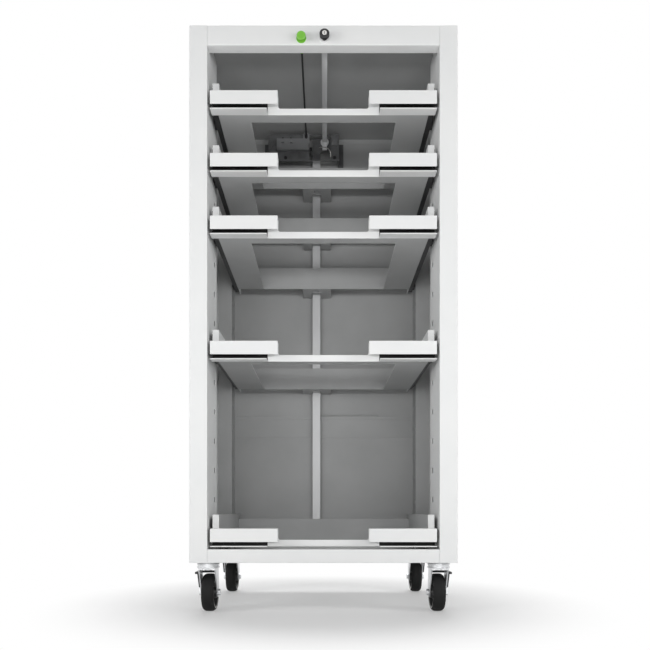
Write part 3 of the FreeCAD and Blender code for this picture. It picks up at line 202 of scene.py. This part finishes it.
# %% Hang the lamps
def soft_lamp(name, place, aim, width, height, power):
    """Adds a soft rectangular lamp at a place that shines towards another."""
    data = bpy.data.lights.new(name, "AREA")
    data.shape = "RECTANGLE"
    data.size = width
    data.size_y = height
    data.energy = power
    lamp = bpy.data.objects.new(name, data)
    lamp.location = place
    lamp.rotation_euler = (Vector(aim) - Vector(place)).to_track_quat("-Z", "Y").to_euler()
    lamp.visible_camera = False
    bpy.context.scene.collection.objects.link(lamp)


soft_lamp("floor_lamp", place=(0, 3.2, 9.0), aim=(0, 0, 0), width=6.0, height=6.0, power=470)
soft_lamp("strip_lamp", place=(0, -1.95, 0.46), aim=(0, 0, 0.70), width=2.1, height=0.2, power=14.5)
for side in (-1, 1):
    soft_lamp("side_lamp", place=(1.68 * side, -1.08, 0.84), aim=(0, -0.2, 0.80),
              width=0.7, height=0.7, power=11.2)
print("one lamp above, one in front and one at each side")

# %% [markdown]
# ## The world
#
# The world round the studio adds a weak even light, so that no corner of a bay
# is quite black. The camera and the glossy parts see it white instead, so that
# there is no edge where the floor ends.

# %% White world
WHITE = (1, 1, 1, 1)
world = bpy.data.worlds.new("studio")
bpy.context.scene.world = world
world.use_nodes = True
tree = world.node_tree
ambient = tree.nodes["Background"]
ambient.inputs["Color"].default_value = WHITE
ambient.inputs["Strength"].default_value = 0.08
backdrop = tree.nodes.new("ShaderNodeBackground")
backdrop.inputs["Color"].default_value = WHITE
backdrop.inputs["Strength"].default_value = 1.0
switch = tree.nodes.new("ShaderNodeMixShader")
tree.links.new(picture_rays(tree), switch.inputs["Fac"])
tree.links.new(ambient.outputs[0], switch.inputs[1])
tree.links.new(backdrop.outputs[0], switch.inputs[2])
tree.links.new(switch.outputs[0], tree.nodes["World Output"].inputs["Surface"])
bpy.context.scene.view_settings.view_transform = "Standard"
print("the world gives", ambient.inputs["Strength"].default_value, "of plain white light")

# %% [markdown]
# ## A recipe for a finish
#
# Every finish starts from the same recipe. Its colour drifts a little between
# two near tones, its gloss varies from place to place, and a fine bump gives
# the surface its grain. The grain is what tells powder coat from rubber, so
# its size and height are set for each finish. The patterns read the object's
# own coordinates in metres, so a grain keeps its true size on every part.

# %% The recipe
DARK_BELOW = 0.3
LIGHT_ABOVE = 0.7
CLOUD_DETAIL = 3
GRAIN_DETAIL = 2
materials = {}


def finish(name, dark, light, gloss, grain, height, metallic=0.0, drift=9.0, mirror=0.5):
    """Makes a material whose colour, gloss and surface vary by place."""
    material = bpy.data.materials.new(name)
    material.use_nodes = True
    tree = material.node_tree
    shader = tree.nodes["Principled BSDF"]
    shader.inputs["Metallic"].default_value = metallic
    shader.inputs["Specular IOR Level"].default_value = mirror
    place = tree.nodes.new("ShaderNodeTexCoord")

    clouds = tree.nodes.new("ShaderNodeTexNoise")
    clouds.inputs["Scale"].default_value = drift
    clouds.inputs["Detail"].default_value = CLOUD_DETAIL
    tree.links.new(place.outputs["Object"], clouds.inputs["Vector"])
    tones = tree.nodes.new("ShaderNodeValToRGB")
    lower, upper = tones.color_ramp.elements
    lower.position = DARK_BELOW
    lower.color = (*dark, 1)
    upper.position = LIGHT_ABOVE
    upper.color = (*light, 1)
    tree.links.new(clouds.outputs["Fac"], tones.inputs["Fac"])
    tree.links.new(tones.outputs["Color"], shader.inputs["Base Color"])

    roughness = tree.nodes.new("ShaderNodeMapRange")
    roughness.inputs["To Min"].default_value = gloss[0]
    roughness.inputs["To Max"].default_value = gloss[1]
    tree.links.new(clouds.outputs["Fac"], roughness.inputs["Value"])
    tree.links.new(roughness.outputs["Result"], shader.inputs["Roughness"])

    grains = tree.nodes.new("ShaderNodeTexNoise")
    grains.inputs["Scale"].default_value = grain
    grains.inputs["Detail"].default_value = GRAIN_DETAIL
    tree.links.new(place.outputs["Object"], grains.inputs["Vector"])
    bump = tree.nodes.new("ShaderNodeBump")
    bump.inputs["Strength"].default_value = 1.0
    bump.inputs["Distance"].default_value = height
    tree.links.new(grains.outputs["Fac"], bump.inputs["Height"])
    tree.links.new(bump.outputs["Normal"], shader.inputs["Normal"])
    materials[name] = material


print("a finish has", CLOUD_DETAIL, "levels of cloud and", GRAIN_DETAIL, "of grain")

# %% [markdown]
# ## The paints
#
# The sheet steel is powder coated pale grey. A darker grey copy of the coat
# is painted shade on the faces inside the cabinet and the trays, where less
# light reaches. The grain is fine and very low, as a baked powder flows out
# nearly smooth. One coat for all would be simpler, but the depth of the bays
# would not show.

# %% Paints
POWDER_GRAIN = 1100
POWDER_HEIGHT = 0.00003
for name in ("body_paint", "tray_paint"):
    finish(name, dark=(0.79, 0.80, 0.80), light=(0.82, 0.825, 0.82), gloss=(0.42, 0.55),
           grain=POWDER_GRAIN, height=POWDER_HEIGHT, mirror=0.35)
# The two darker grey paints below are painted shade for the faces inside the cabinet and the trays.
finish("tray_inner", dark=(0.42, 0.425, 0.425), light=(0.48, 0.485, 0.485), gloss=(0.42, 0.55),
       grain=POWDER_GRAIN, height=POWDER_HEIGHT, mirror=0.2)
finish("body_shade_paint", dark=(0.43, 0.435, 0.435), light=(0.48, 0.485, 0.485), gloss=(0.45, 0.6),
       grain=POWDER_GRAIN, height=POWDER_HEIGHT, mirror=0.2)
print(len(materials), "paints, with a grain about", round(1000 / POWDER_GRAIN, 1), "mm wide")

# %% [markdown]
# ## The metals
#
# The slides get a near-black steel colour, which is painted shade from the
# trays above them. The bar and the latch are dull zinc, and the forks of the
# casters are bright zinc. The rings of the wheels, the key plate and the spring
# are nickel. The bright ones are fully metallic, so they show the studio. The
# dull ones are only partly so, because a grey layer on the zinc hides the metal
# under it.

# %% Metals
# The slides' near-black colour is painted shade, not the colour of the steel.
finish("slide_shade_steel", dark=(0.06, 0.06, 0.062), light=(0.10, 0.10, 0.102), gloss=(0.35, 0.5),
       grain=700, height=0.00002, metallic=0.6)
finish("bar_zinc", dark=(0.60, 0.605, 0.61), light=(0.70, 0.705, 0.71), gloss=(0.4, 0.55),
       grain=700, height=0.00002, metallic=0.15)
finish("dull_zinc", dark=(0.13, 0.132, 0.135), light=(0.18, 0.182, 0.185), gloss=(0.4, 0.55),
       grain=500, height=0.00002, metallic=0.3, drift=60, mirror=0.3)
finish("zinc", dark=(0.55, 0.56, 0.57), light=(0.72, 0.73, 0.74), gloss=(0.25, 0.45),
       grain=500, height=0.00002, metallic=1.0, drift=60)
finish("nickel", dark=(0.62, 0.61, 0.59), light=(0.74, 0.73, 0.71), gloss=(0.16, 0.30),
       grain=900, height=0.00001, metallic=1.0, drift=40)
print(len(materials), "finishes with the metals")

# %% [markdown]
# ## Plastics and rubber
#
# Moulded plastic has a closed skin with a faint grain from the mould. Rubber
# is duller and rougher, and hardly mirrors anything. Black parts are never
# quite black, because a little light always comes back from their skin.

# %% Plastics and rubber
finish("black_plastic", dark=(0.018, 0.018, 0.019), light=(0.030, 0.030, 0.031),
       gloss=(0.30, 0.45), grain=1500, height=0.00002, mirror=0.3)
finish("cable_black", dark=(0.020, 0.020, 0.020), light=(0.035, 0.035, 0.035),
       gloss=(0.45, 0.6), grain=1200, height=0.00003)
finish("green_plastic", dark=(0.17, 0.48, 0.045), light=(0.21, 0.54, 0.06),
       gloss=(0.30, 0.42), grain=1500, height=0.00001)
finish("grey_plastic", dark=(0.23, 0.235, 0.24), light=(0.28, 0.285, 0.29),
       gloss=(0.40, 0.55), grain=1300, height=0.00002)
finish("rim_plastic", dark=(0.022, 0.022, 0.023), light=(0.036, 0.036, 0.037),
       gloss=(0.28, 0.42), grain=1400, height=0.00002, mirror=0.3)
finish("tread", dark=(0.010, 0.010, 0.010), light=(0.020, 0.020, 0.020),
       gloss=(0.60, 0.80), grain=900, height=0.00006, mirror=0.15)
print(len(materials), "finishes in all")

# %% [markdown]
# ## Finishes on the parts
#
# Each part already names the finish that it leaves the factory with. Most keep
# it. A few look different in their place, so they are listed here with another
# one. For the slides, the rear uprights, the back panels and the catches of the
# trays that other finish is a darker one, which is painted shade.

# %% Give every part its finish
DRAWERS = range(1, 6)
WHEELS = [f"{end}_{side}" for end in ("front", "rear") for side in ("left", "right")]
other_kinds = {
    # The darker grey paint on the rear uprights and back panels is painted shade.
    "rear_uprights": "body_shade_paint",
    "back_panel_upper": "body_shade_paint",
    "back_panel_lower": "body_shade_paint",
    "lock_rod": "bar_zinc",
    "locking_bar": "bar_zinc",
    "bar_head": "dull_zinc",
    "latch_plate": "dull_zinc",
    "button_collar": "green_plastic",
    "lock_barrel": "body_paint",
    "release_pawl": "black_plastic",
}
# The catches' darker coat and the slides' near-black steel are painted shade.
for number in DRAWERS:
    other_kinds[f"drawer_{number}_catch"] = "tray_inner"
    for member in ("inner", "middle", "outer"):
        other_kinds[f"drawer_{number}_slide_{member}"] = "slide_shade_steel"
for wheel in WHEELS:
    other_kinds["brake_" + wheel] = "black_plastic"

own_slots = {}
own_kinds = {}
for name, node in nodes.items():
    for slot in node.material_slots:
        own_slots[name] = slot.material.name.split(".")[0]
        own_kinds[name] = other_kinds.get(name, own_slots[name])
        slot.material = materials[own_kinds[name]]
print(len(own_kinds), "parts finished,", len(other_kinds), "of them unlike their slot")

# %% [markdown]
# ## A finished piece
#
# Every new piece is added in the same way. Its shape becomes a mesh, shaded
# smooth except at its true edges, and it gets its finish. Then it is told
# which body carries it, so that it moves when that body does.

# %% Add a piece
SHARP_FROM = radians(32)


def add_piece(name, shape, body, kind):
    """Makes an object of a finished shape, with its finish, on the body it moves with."""
    data = bpy.data.meshes.new(name)
    shape.to_mesh(data)
    shape.free()
    for face in data.polygons:
        face.use_smooth = True
    data.set_sharp_from_angle(angle=SHARP_FROM)
    data.materials.append(materials[kind])
    piece = bpy.data.objects.new(name, data)
    bpy.context.scene.collection.objects.link(piece)
    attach(piece, body)
    return piece


# %% [markdown]
# ## Folded steel
#
# Sheet steel is cut, folded and powder coated, and the coating rounds every
# edge a little. Each steel part is copied, the small triangles of its flat
# faces are merged again, and a narrow bevel is laid over what is left. The
# bevel is what catches the light along an edge. A wider one would be simpler
# to see, but the sheet would then look moulded.

# %% Soften a part
WELD = 0.00001
FLAT_WITHIN = radians(1)
BEVEL_FROM = radians(35)


def soften(node, width):
    """Puts a copy with rounded edges in the place of a part."""
    part = nodes[node]
    shape = bmesh.new()
    shape.from_mesh(part.data)
    bmesh.ops.remove_doubles(shape, verts=shape.verts, dist=WELD)
    bmesh.ops.dissolve_limit(shape, angle_limit=FLAT_WITHIN, verts=shape.verts, edges=shape.edges)
    body = body_of(part)[0]
    piece = add_piece(node + "_rounded", shape, body, own_kinds[node])
    rounding = piece.modifiers.new("rounding", "BEVEL")
    rounding.width = width
    rounding.segments = 2
    rounding.limit_method = "ANGLE"
    rounding.angle_limit = BEVEL_FROM
    rounding.harden_normals = True
    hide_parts(node)
    return piece


print("edges sharper than", round(BEVEL_FROM * 180 / pi), "degrees are rounded")

# %% [markdown]
# ## Sheet and small stock
#
# The large sheets carry the thicker coat, so their edges are rounder. The bars,
# plates, forks and axles are plated or bare, and only lose the burr of the cut.

# %% Soften the sheets and the stock
SHEET_ROUND = 0.0005
STOCK_ROUND = 0.0003
big_sheets = ["side_panel_left", "side_panel_right", "front_uprights", "rear_uprights", "top_panel",
              "base_pan", "back_panel_upper", "back_panel_lower"]
big_sheets += [f"drawer_{number}_tray" for number in DRAWERS]
small_stock = ["locking_bar", "bar_head", "bar_fingers", "bar_guides", "lock_rod", "latch_plate",
               "latch_block", "release_pawl"]
small_stock += [f"drawer_{number}_catch" for number in DRAWERS]
small_stock += [f"{part}_{wheel}" for part in ("fork", "brake", "axle") for wheel in WHEELS]
sheets = {node: soften(node, SHEET_ROUND) for node in big_sheets}
for node in small_stock:
    soften(node, STOCK_ROUND)
print(len(big_sheets) + len(small_stock), "parts have rounded edges")

# %% [markdown]
# ## Coats of the trays
#
# The front of a tray, with its two handles, has the same pale coat as the
# body. The inside and the underside get a darker grey, which is painted shade.
# The coats are told apart by place: all that lies behind the front sheet is
# inside. The floor and the shelf of the grip are one flat face, so a knife cut
# parts them first. The side walls of the upper four trays stay pale, because
# light reaches them, and those of the lowest tray get the painted shade too.

# %% Coat the trays
FRONT_FACE = 0.022
FRONT_DEPTH = 0.0222
SQUARE_ON = 0.9


def coat(piece, kind, chosen):
    """Gives the faces that a test picks out another finish."""
    piece.data.materials.append(materials[kind])
    faces = [face for face in piece.data.polygons if chosen(face)]
    for face in faces:
        face.material_index = len(piece.data.materials) - 1
    print(piece.name, "has", len(faces), "faces in", kind)


for number in DRAWERS:
    tray = sheets[f"drawer_{number}_tray"]
    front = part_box(f"drawer_{number}_tray")[0].y
    shape = bmesh.new()
    shape.from_mesh(tray.data)
    bmesh.ops.bisect_plane(shape, geom=shape.verts[:] + shape.edges[:] + shape.faces[:],
                           dist=WELD, plane_co=(0, front + FRONT_FACE, 0), plane_no=(0, 1, 0))
    shape.to_mesh(tray.data)
    shape.free()
    lowest = number == DRAWERS[-1]
    # Faces behind the front sheet get the darker grey as painted shade.
    coat(tray, "tray_inner", lambda face: face.center.y > front + FRONT_DEPTH
         and (lowest or abs(face.normal.x) < SQUARE_ON))

# %% [markdown]
# ## Coats of the body
#
# The inside of the body gets a darker grey than the outside, which is painted
# shade. The top panel and the back panels each show both, so the faces that
# look into the cabinet are told apart by the way they point.

# %% Coat the body
BEHIND_RAIL = -0.15
# Faces that look into the cabinet get the darker grey as painted shade.
coat(sheets["top_panel"], "body_shade_paint", lambda face: face.center.y > BEHIND_RAIL
     and (face.normal.z < -SQUARE_ON or face.normal.y < -SQUARE_ON))
for name in ("back_panel_upper", "back_panel_lower"):
    coat(sheets[name], "body_paint", lambda face: face.normal.y > SQUARE_ON)

# %% [markdown]
# ## Finger channels
#
# Fingers reach through the slot under each handle and up behind its plate. A
# thin black strip on the wall there, in the tread's finish, is painted shade,
# which makes the slot look dark. It is a bar with eased edges, thin enough to
# leave the channel open. A dark coat would be simpler, but the wall is one face
# with the rest of the front.

# %% Shade strips in the finger channels
SHADE_STRIP = Vector((0.1085, 0.0006, 0.021))
SHADE_STRIP_END_GAP = 0.0004
SHADE_STRIP_FOOT_GAP = 0.0015
SHADE_STRIP_EDGE = 0.00025


def eased_bar(centre, size, edge):
    """A bar with a narrow bevel along its edges."""
    bar = bmesh.new()
    bmesh.ops.create_cube(bar, size=1.0, matrix=Matrix.LocRotScale(centre, None, size))
    bmesh.ops.bevel(bar, geom=bar.edges[:], offset=edge, segments=2, profile=0.5,
                    affect="EDGES", material=-1)
    return bar


# Each black strip is painted shade for the dark inside a finger channel.
for number in DRAWERS:
    low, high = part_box(f"drawer_{number}_tray")
    for label, side in (("left", -1), ("right", 1)):
        centre = Vector((side * (high.x - SHADE_STRIP_END_GAP - SHADE_STRIP.x / 2),
                         low.y + FRONT_FACE - SHADE_STRIP.y / 2, low.z + SHADE_STRIP_FOOT_GAP + SHADE_STRIP.z / 2))
        add_piece(f"channel_lining_{label}_{number}", eased_bar(centre, SHADE_STRIP, SHADE_STRIP_EDGE),
                  f"drawer_{number}", "tread")
print(2 * len(DRAWERS), "finger channels lined")

# %% [markdown]
# ## Eased outlines
#
# A turned or moulded part has no quite sharp edge. So each corner of an
# outline is first eased into a short curve, in a few steps. An outline either
# closes on itself, as in a tyre, or starts and ends on the axis, as in a screw
# head, and then its two ends are left as they are.

# %% Ease an outline
MOST_OF_SIDE = 0.45


def eased(corners, radius, closed=True, steps=4):
    """Rounds the corners of an outline of (along, out) places."""
    corners = [Vector(corner) for corner in corners]
    outline = []
    for index, corner in enumerate(corners):
        following = corners[(index + 1) % len(corners)]
        at_end = index in (0, len(corners) - 1)
        if at_end and not closed:
            outline.append(corner)
            continue
        to_last = corners[index - 1] - corner
        to_next = following - corner
        reach = min(radius, MOST_OF_SIDE * to_last.length, MOST_OF_SIDE * to_next.length)
        start = corner + to_last.normalized() * reach
        end = corner + to_next.normalized() * reach
        for step in range(steps + 1):
            t = step / steps
            outline.append(start * (1 - t) ** 2 + corner * 2 * t * (1 - t) + end * t ** 2)
    return outline


print("an eased square has", len(eased([(0, 0), (1, 0), (1, 1), (0, 1)], 0.1)), "points")

# %% [markdown]
# ## Turned shapes
#
# Wheels, the knob, rings and screw heads are all made on a lathe or in a round
# mould, so one function spins an outline round an axis. The first and the last
# copy of the outline are merged, so that the surface has no seam.

# %% Spin an outline
def spun(name, outline, centre, axis, body, kind, closed=True, steps=64):
    """Spins an outline round an axis through a centre."""
    centre = Vector(centre)
    axis = Vector(axis)
    out = axis.orthogonal().normalized()
    shape = bmesh.new()
    line = [shape.verts.new(centre + axis * along + out * radius) for along, radius in outline]
    edges = [shape.edges.new(pair) for pair in zip(line, line[1:])]
    if closed:
        edges.append(shape.edges.new((line[-1], line[0])))
    bmesh.ops.spin(shape, geom=line + edges, cent=centre, axis=axis, angle=2 * pi, steps=steps,
                   use_merge=True)
    bmesh.ops.remove_doubles(shape, verts=shape.verts, dist=WELD)
    bmesh.ops.recalc_face_normals(shape, faces=shape.faces)
    return add_piece(name, shape, body, kind)


def middle(node):
    """The centre of a part's box."""
    low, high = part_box(node)
    return (low + high) / 2


def reach_of(node):
    """Half the size of a part's box along each axis."""
    low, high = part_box(node)
    return (high - low) / 2


print("a tyre reaches", round(1000 * reach_of("tyre_front_left").z, 1), "mm from its axle")

# %% [markdown]
# ## Rings of the wheels
#
# A thin bright ring on each side of a wheel covers the joint between its core
# and its rubber. It is a band pressed from sheet, so it stands out by less
# than its own width, and its edges are eased only a little. A function makes
# the two rings of one wheel, because they belong with the rest of that wheel.

# %% Two rings for a wheel
RING_WALL = 0.0018
RING_HEIGHT = 0.0007
RIM_INSET = 0.001
TURNS = 96
ACROSS = (1, 0, 0)


def add_rings(wheel):
    """Adds the ring on each side of a wheel."""
    seat = reach_of("rim_" + wheel).z
    for label, facing in (("left", -1), ("right", 1)):
        foot = facing * (reach_of("tyre_" + wheel).x - RIM_INSET)
        face = foot + facing * RING_HEIGHT
        ring = eased([(foot, seat - RING_WALL), (face, seat - RING_WALL), (face, seat),
                      (foot, seat)], radius=0.0003)
        spun(f"wheel_ring_{label}_{wheel}", ring, middle("tyre_" + wheel), ACROSS,
             "wheel_" + wheel, "nickel", steps=TURNS)


print("a ring is", round(1000 * RING_WALL, 1), "mm wide")

# %% [markdown]
# ## Tyres and cores
#
# Each wheel is a hard core with a ring of dark rubber moulded round it. The
# tread is slightly crowned and its shoulders are round, so that the wheel
# rolls over small steps. The core is thin between its hub and its rim, which
# saves plastic and leaves a hollow on each side. A plain cylinder would be
# quicker to make, but it would show neither the crown nor the hollow.

# %% Spin the wheels
SHOULDER = 0.0045
CROWN = 0.0004
HUB_RADIUS = 0.011
HUB_FOOT = HUB_RADIUS + 0.0015
BORE_RADIUS = 0.00415
WEB_HALF = 0.0025
RIM_WALL = 0.003
for wheel in WHEELS:
    centre = middle("tyre_" + wheel)
    half = reach_of("tyre_" + wheel).x
    radius = reach_of("tyre_" + wheel).z
    seat = reach_of("rim_" + wheel).z
    hub = reach_of("rim_" + wheel).x
    side = half - RIM_INSET
    rubber = eased([(-half, seat), (-half, radius - SHOULDER), (-half + SHOULDER, radius - CROWN),
                    (0, radius), (half - SHOULDER, radius - CROWN), (half, radius - SHOULDER),
                    (half, seat)], radius=0.003, steps=5)
    tyre = spun("tyre_rubber_" + wheel, rubber, centre, ACROSS, "wheel_" + wheel, "tread",
                steps=TURNS)
    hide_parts("tyre_" + wheel)
    core = eased([(-hub, BORE_RADIUS), (-hub, HUB_RADIUS), (-WEB_HALF, HUB_FOOT),
                  (-WEB_HALF, seat - RIM_WALL), (-side, seat - RIM_WALL), (-side, seat),
                  (side, seat), (side, seat - RIM_WALL), (WEB_HALF, seat - RIM_WALL),
                  (WEB_HALF, HUB_FOOT), (hub, HUB_RADIUS), (hub, BORE_RADIUS)], radius=0.001)
    rim = spun("wheel_core_" + wheel, core, centre, ACROSS, "wheel_" + wheel, "rim_plastic",
               steps=TURNS)
    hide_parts("rim_" + wheel)
    add_rings(wheel)
print(len(WHEELS), "wheels of", round(2000 * radius), "mm")

# %% [markdown]
# ## Ball races
#
# The race on a fork's crown is pressed from sheet, which leaves a rounded lip
# at its top and bottom. The lips are separate rings, because the race itself
# must keep its size. Each pair stands on the axis that its caster turns about.

# %% Race lips
UPRIGHT = (0, 0, 1)
LIP = 0.0011
LIP_INNER = 0.0205
LIP_OUTER = 0.0219
RACE_DEPTH = 0.0075
joints = {joint["name"]: joint for joint in frame["record"]["behaviour"]["joints"]}
for wheel in WHEELS:
    swivel = Vector(joints[f"swivel_{wheel}_turn"]["pos_m"])
    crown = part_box("fork_" + wheel)[1].z
    for label, height in (("top", crown - LIP), ("low", crown - RACE_DEPTH)):
        lip = eased([(-LIP, LIP_INNER), (LIP, LIP_INNER), (LIP, LIP_OUTER), (-LIP, LIP_OUTER)],
                    radius=0.0006)
        spun(f"race_lip_{label}_{wheel}", lip, (swivel.x, swivel.y, height), UPRIGHT,
             "swivel_" + wheel, "zinc")
print("two lips on each race")

# %% [markdown]
# ## The knob
#
# The lock's knob is a round black grip with a domed face, on a thinner stem.
# It is spun afresh, because its dome is too soft in outline for the plain
# solid. The green button beside it has a plain bevel, so it keeps its solid.

# %% Spin the knob
KNOB_HEAD = 0.007
KNOB_DOME = 0.0016
KNOB_STEM = 0.0055
FACE_SINK = 0.0004
FROM_FRONT = (0, 1, 0)
low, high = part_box("lock_knob")
centre = middle("lock_knob")
radius = reach_of("lock_knob").z
front = low.y - centre.y + FACE_SINK
back = high.y - centre.y
head = front + KNOB_HEAD
outline = [(front, 0), (front, radius * 0.55), (front + KNOB_DOME * 0.35, radius * 0.86),
           (front + KNOB_DOME, radius), (head, radius), (head, KNOB_STEM), (back, KNOB_STEM),
           (back, 0)]
knob = spun("lock_knob_turned", eased(outline, KNOB_DOME * 0.4, closed=False), centre, FROM_FRONT,
            "lock", "black_plastic", closed=False, steps=72)
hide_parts("lock_knob")
knob_face = Vector((centre.x, low.y, centre.z))
print("knob stands out to", round(knob_face.y, 4))

# %% [markdown]
# ## The key plate
#
# A bright plate in the knob's face takes the key. It is a low disc with a dark
# upright bar on it, which is painted shade for the key's slot. A slot cut into
# the disc would be as narrow and look the same, with more faces to clean up.

# %% Key plate and slot
KEY_SLOT_SHADE = Vector((0.0011, 0.0008, 0.0058))
SLOT_SINK = 0.00045
SLOT_EDGE = 0.0002
plate = eased([(0.0002, 0), (0.0001, 0.0036), (0.0001, 0.0044), (0.0015, 0.0046)],
              radius=0.0003, closed=False)
spun("key_plate", plate, knob_face, FROM_FRONT, "lock", "nickel", closed=False, steps=40)
# The black bar is painted shade for the depth of the key's slot.
slot_centre = knob_face + Vector((0, SLOT_SINK, 0))
add_piece("key_slot", eased_bar(slot_centre, KEY_SLOT_SHADE, SLOT_EDGE), "lock", "black_plastic")
print("the key's slot is", round(1000 * KEY_SLOT_SHADE.z, 1), "mm tall")

# %% [markdown]
# ## Screws
#
# The latch at the back is held by screws with a socket in the head, and so
# are the back panels. A screw head is a low dome with a round recess. It has
# only a few sides, because there are many of them and each is tiny.

# %% Screws of the latch
TO_FRONT = (0, -1, 0)
HEIGHT_PER_RADIUS = 0.55
PLATE_FACE = 0.148
PLATE_ROW = 1.0595
FOOT_COLUMN = -0.1226


def screw(name, place, axis, radius, kind="zinc"):
    """A socket head whose underside stands on a place."""
    height = radius * HEIGHT_PER_RADIUS
    outline = [(height * 0.45, 0), (height * 0.45, radius * 0.42), (height, radius * 0.5),
               (height, radius * 0.72), (height * 0.7, radius * 0.94), (0, radius)]
    spun(name, outline, place, axis, "cabinet", kind, closed=False, steps=18)


block_low, block_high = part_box("latch_block")
block_recess = block_low.y + 0.0035
block_row = block_high.z - 0.011
for index, across in enumerate((-0.0993, -0.08)):
    screw(f"block_screw_{index + 1}", (across, block_recess, block_row), TO_FRONT,
          radius=0.0028, kind="black_plastic")
for index, across in enumerate((-0.093, 0.026)):
    screw(f"plate_screw_{index + 1}", (across, PLATE_FACE + 0.001, PLATE_ROW), TO_FRONT,
          radius=0.0042, kind="black_plastic")
for index, height in enumerate((1.0986, 1.0885)):
    screw(f"foot_screw_{index + 1}", (FOOT_COLUMN, PLATE_FACE, height), TO_FRONT,
          radius=0.0024, kind="dull_zinc")
print("six screws at the latch")

# %% [markdown]
# ## Screws of the back
#
# The two back panels are screwed to the rear uprights in one straight row at
# each side. The rows start a little above the lower edge and end as far below
# the upper one, and the screws between are evenly spaced. The loop works out
# their heights from the panels, so the rows fit panels of another height too.

# %% Screws of the back
PANEL_SCREWS = 6
PANEL_MARGIN = 0.03
PANEL_SIDE = 0.235
PANEL_REAR = 0.198
panels_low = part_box("back_panel_lower")[0].z
panels_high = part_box("back_panel_upper")[1].z
row_length = panels_high - panels_low - 2 * PANEL_MARGIN
for index in range(PANEL_SCREWS):
    height = panels_low + PANEL_MARGIN + index * row_length / (PANEL_SCREWS - 1)
    for label, side in (("left", -1), ("right", 1)):
        screw(f"panel_screw_{label}_{index + 1}", (side * PANEL_SIDE, PANEL_REAR, height),
              FROM_FRONT, radius=0.004)
print(2 * PANEL_SCREWS, "screws on the back")

# %% [markdown]
# ## The latch spring
#
# A bent spring wire pulls the pawl back when the button is let go. It is a
# curve with a round section, turned into a mesh, because a wire follows its
# bends with the same thickness all along.

# %% Bend the wire
WIRE_THICKNESS = 0.0016
spring_y = PLATE_FACE - 0.004
bends = [(-0.012, spring_y + 0.003, 1.083), (-0.004, spring_y, 1.084),
         (0.006, spring_y - 0.002, 1.081), (0.014, spring_y - 0.002, 1.077),
         (0.017, spring_y, 1.070), (0.0165, spring_y + 0.0025, 1.061)]
curve = bpy.data.curves.new("spring_path", "CURVE")
curve.dimensions = "3D"
curve.bevel_depth = WIRE_THICKNESS / 2
curve.bevel_resolution = 4
curve.use_fill_caps = True
spline = curve.splines.new("NURBS")
spline.points.add(len(bends) - 1)
for point, bend in zip(spline.points, bends):
    point.co = (*bend, 1)
spline.use_endpoint_u = True
spline.order_u = 4
spline.resolution_u = 10
path = bpy.data.objects.new("spring_path", curve)
bpy.context.scene.collection.objects.link(path)
bpy.context.view_layer.update()
bent_path = path.evaluated_get(bpy.context.evaluated_depsgraph_get())
wire_data = bpy.data.meshes.new_from_object(bent_path)
bpy.data.objects.remove(path)
wire = bmesh.new()
wire.from_mesh(wire_data)
bmesh.ops.remove_doubles(wire, verts=wire.verts, dist=WELD)
add_piece("latch_spring", wire, "cabinet", "nickel")
print("spring wire bent round", len(bends), "places")
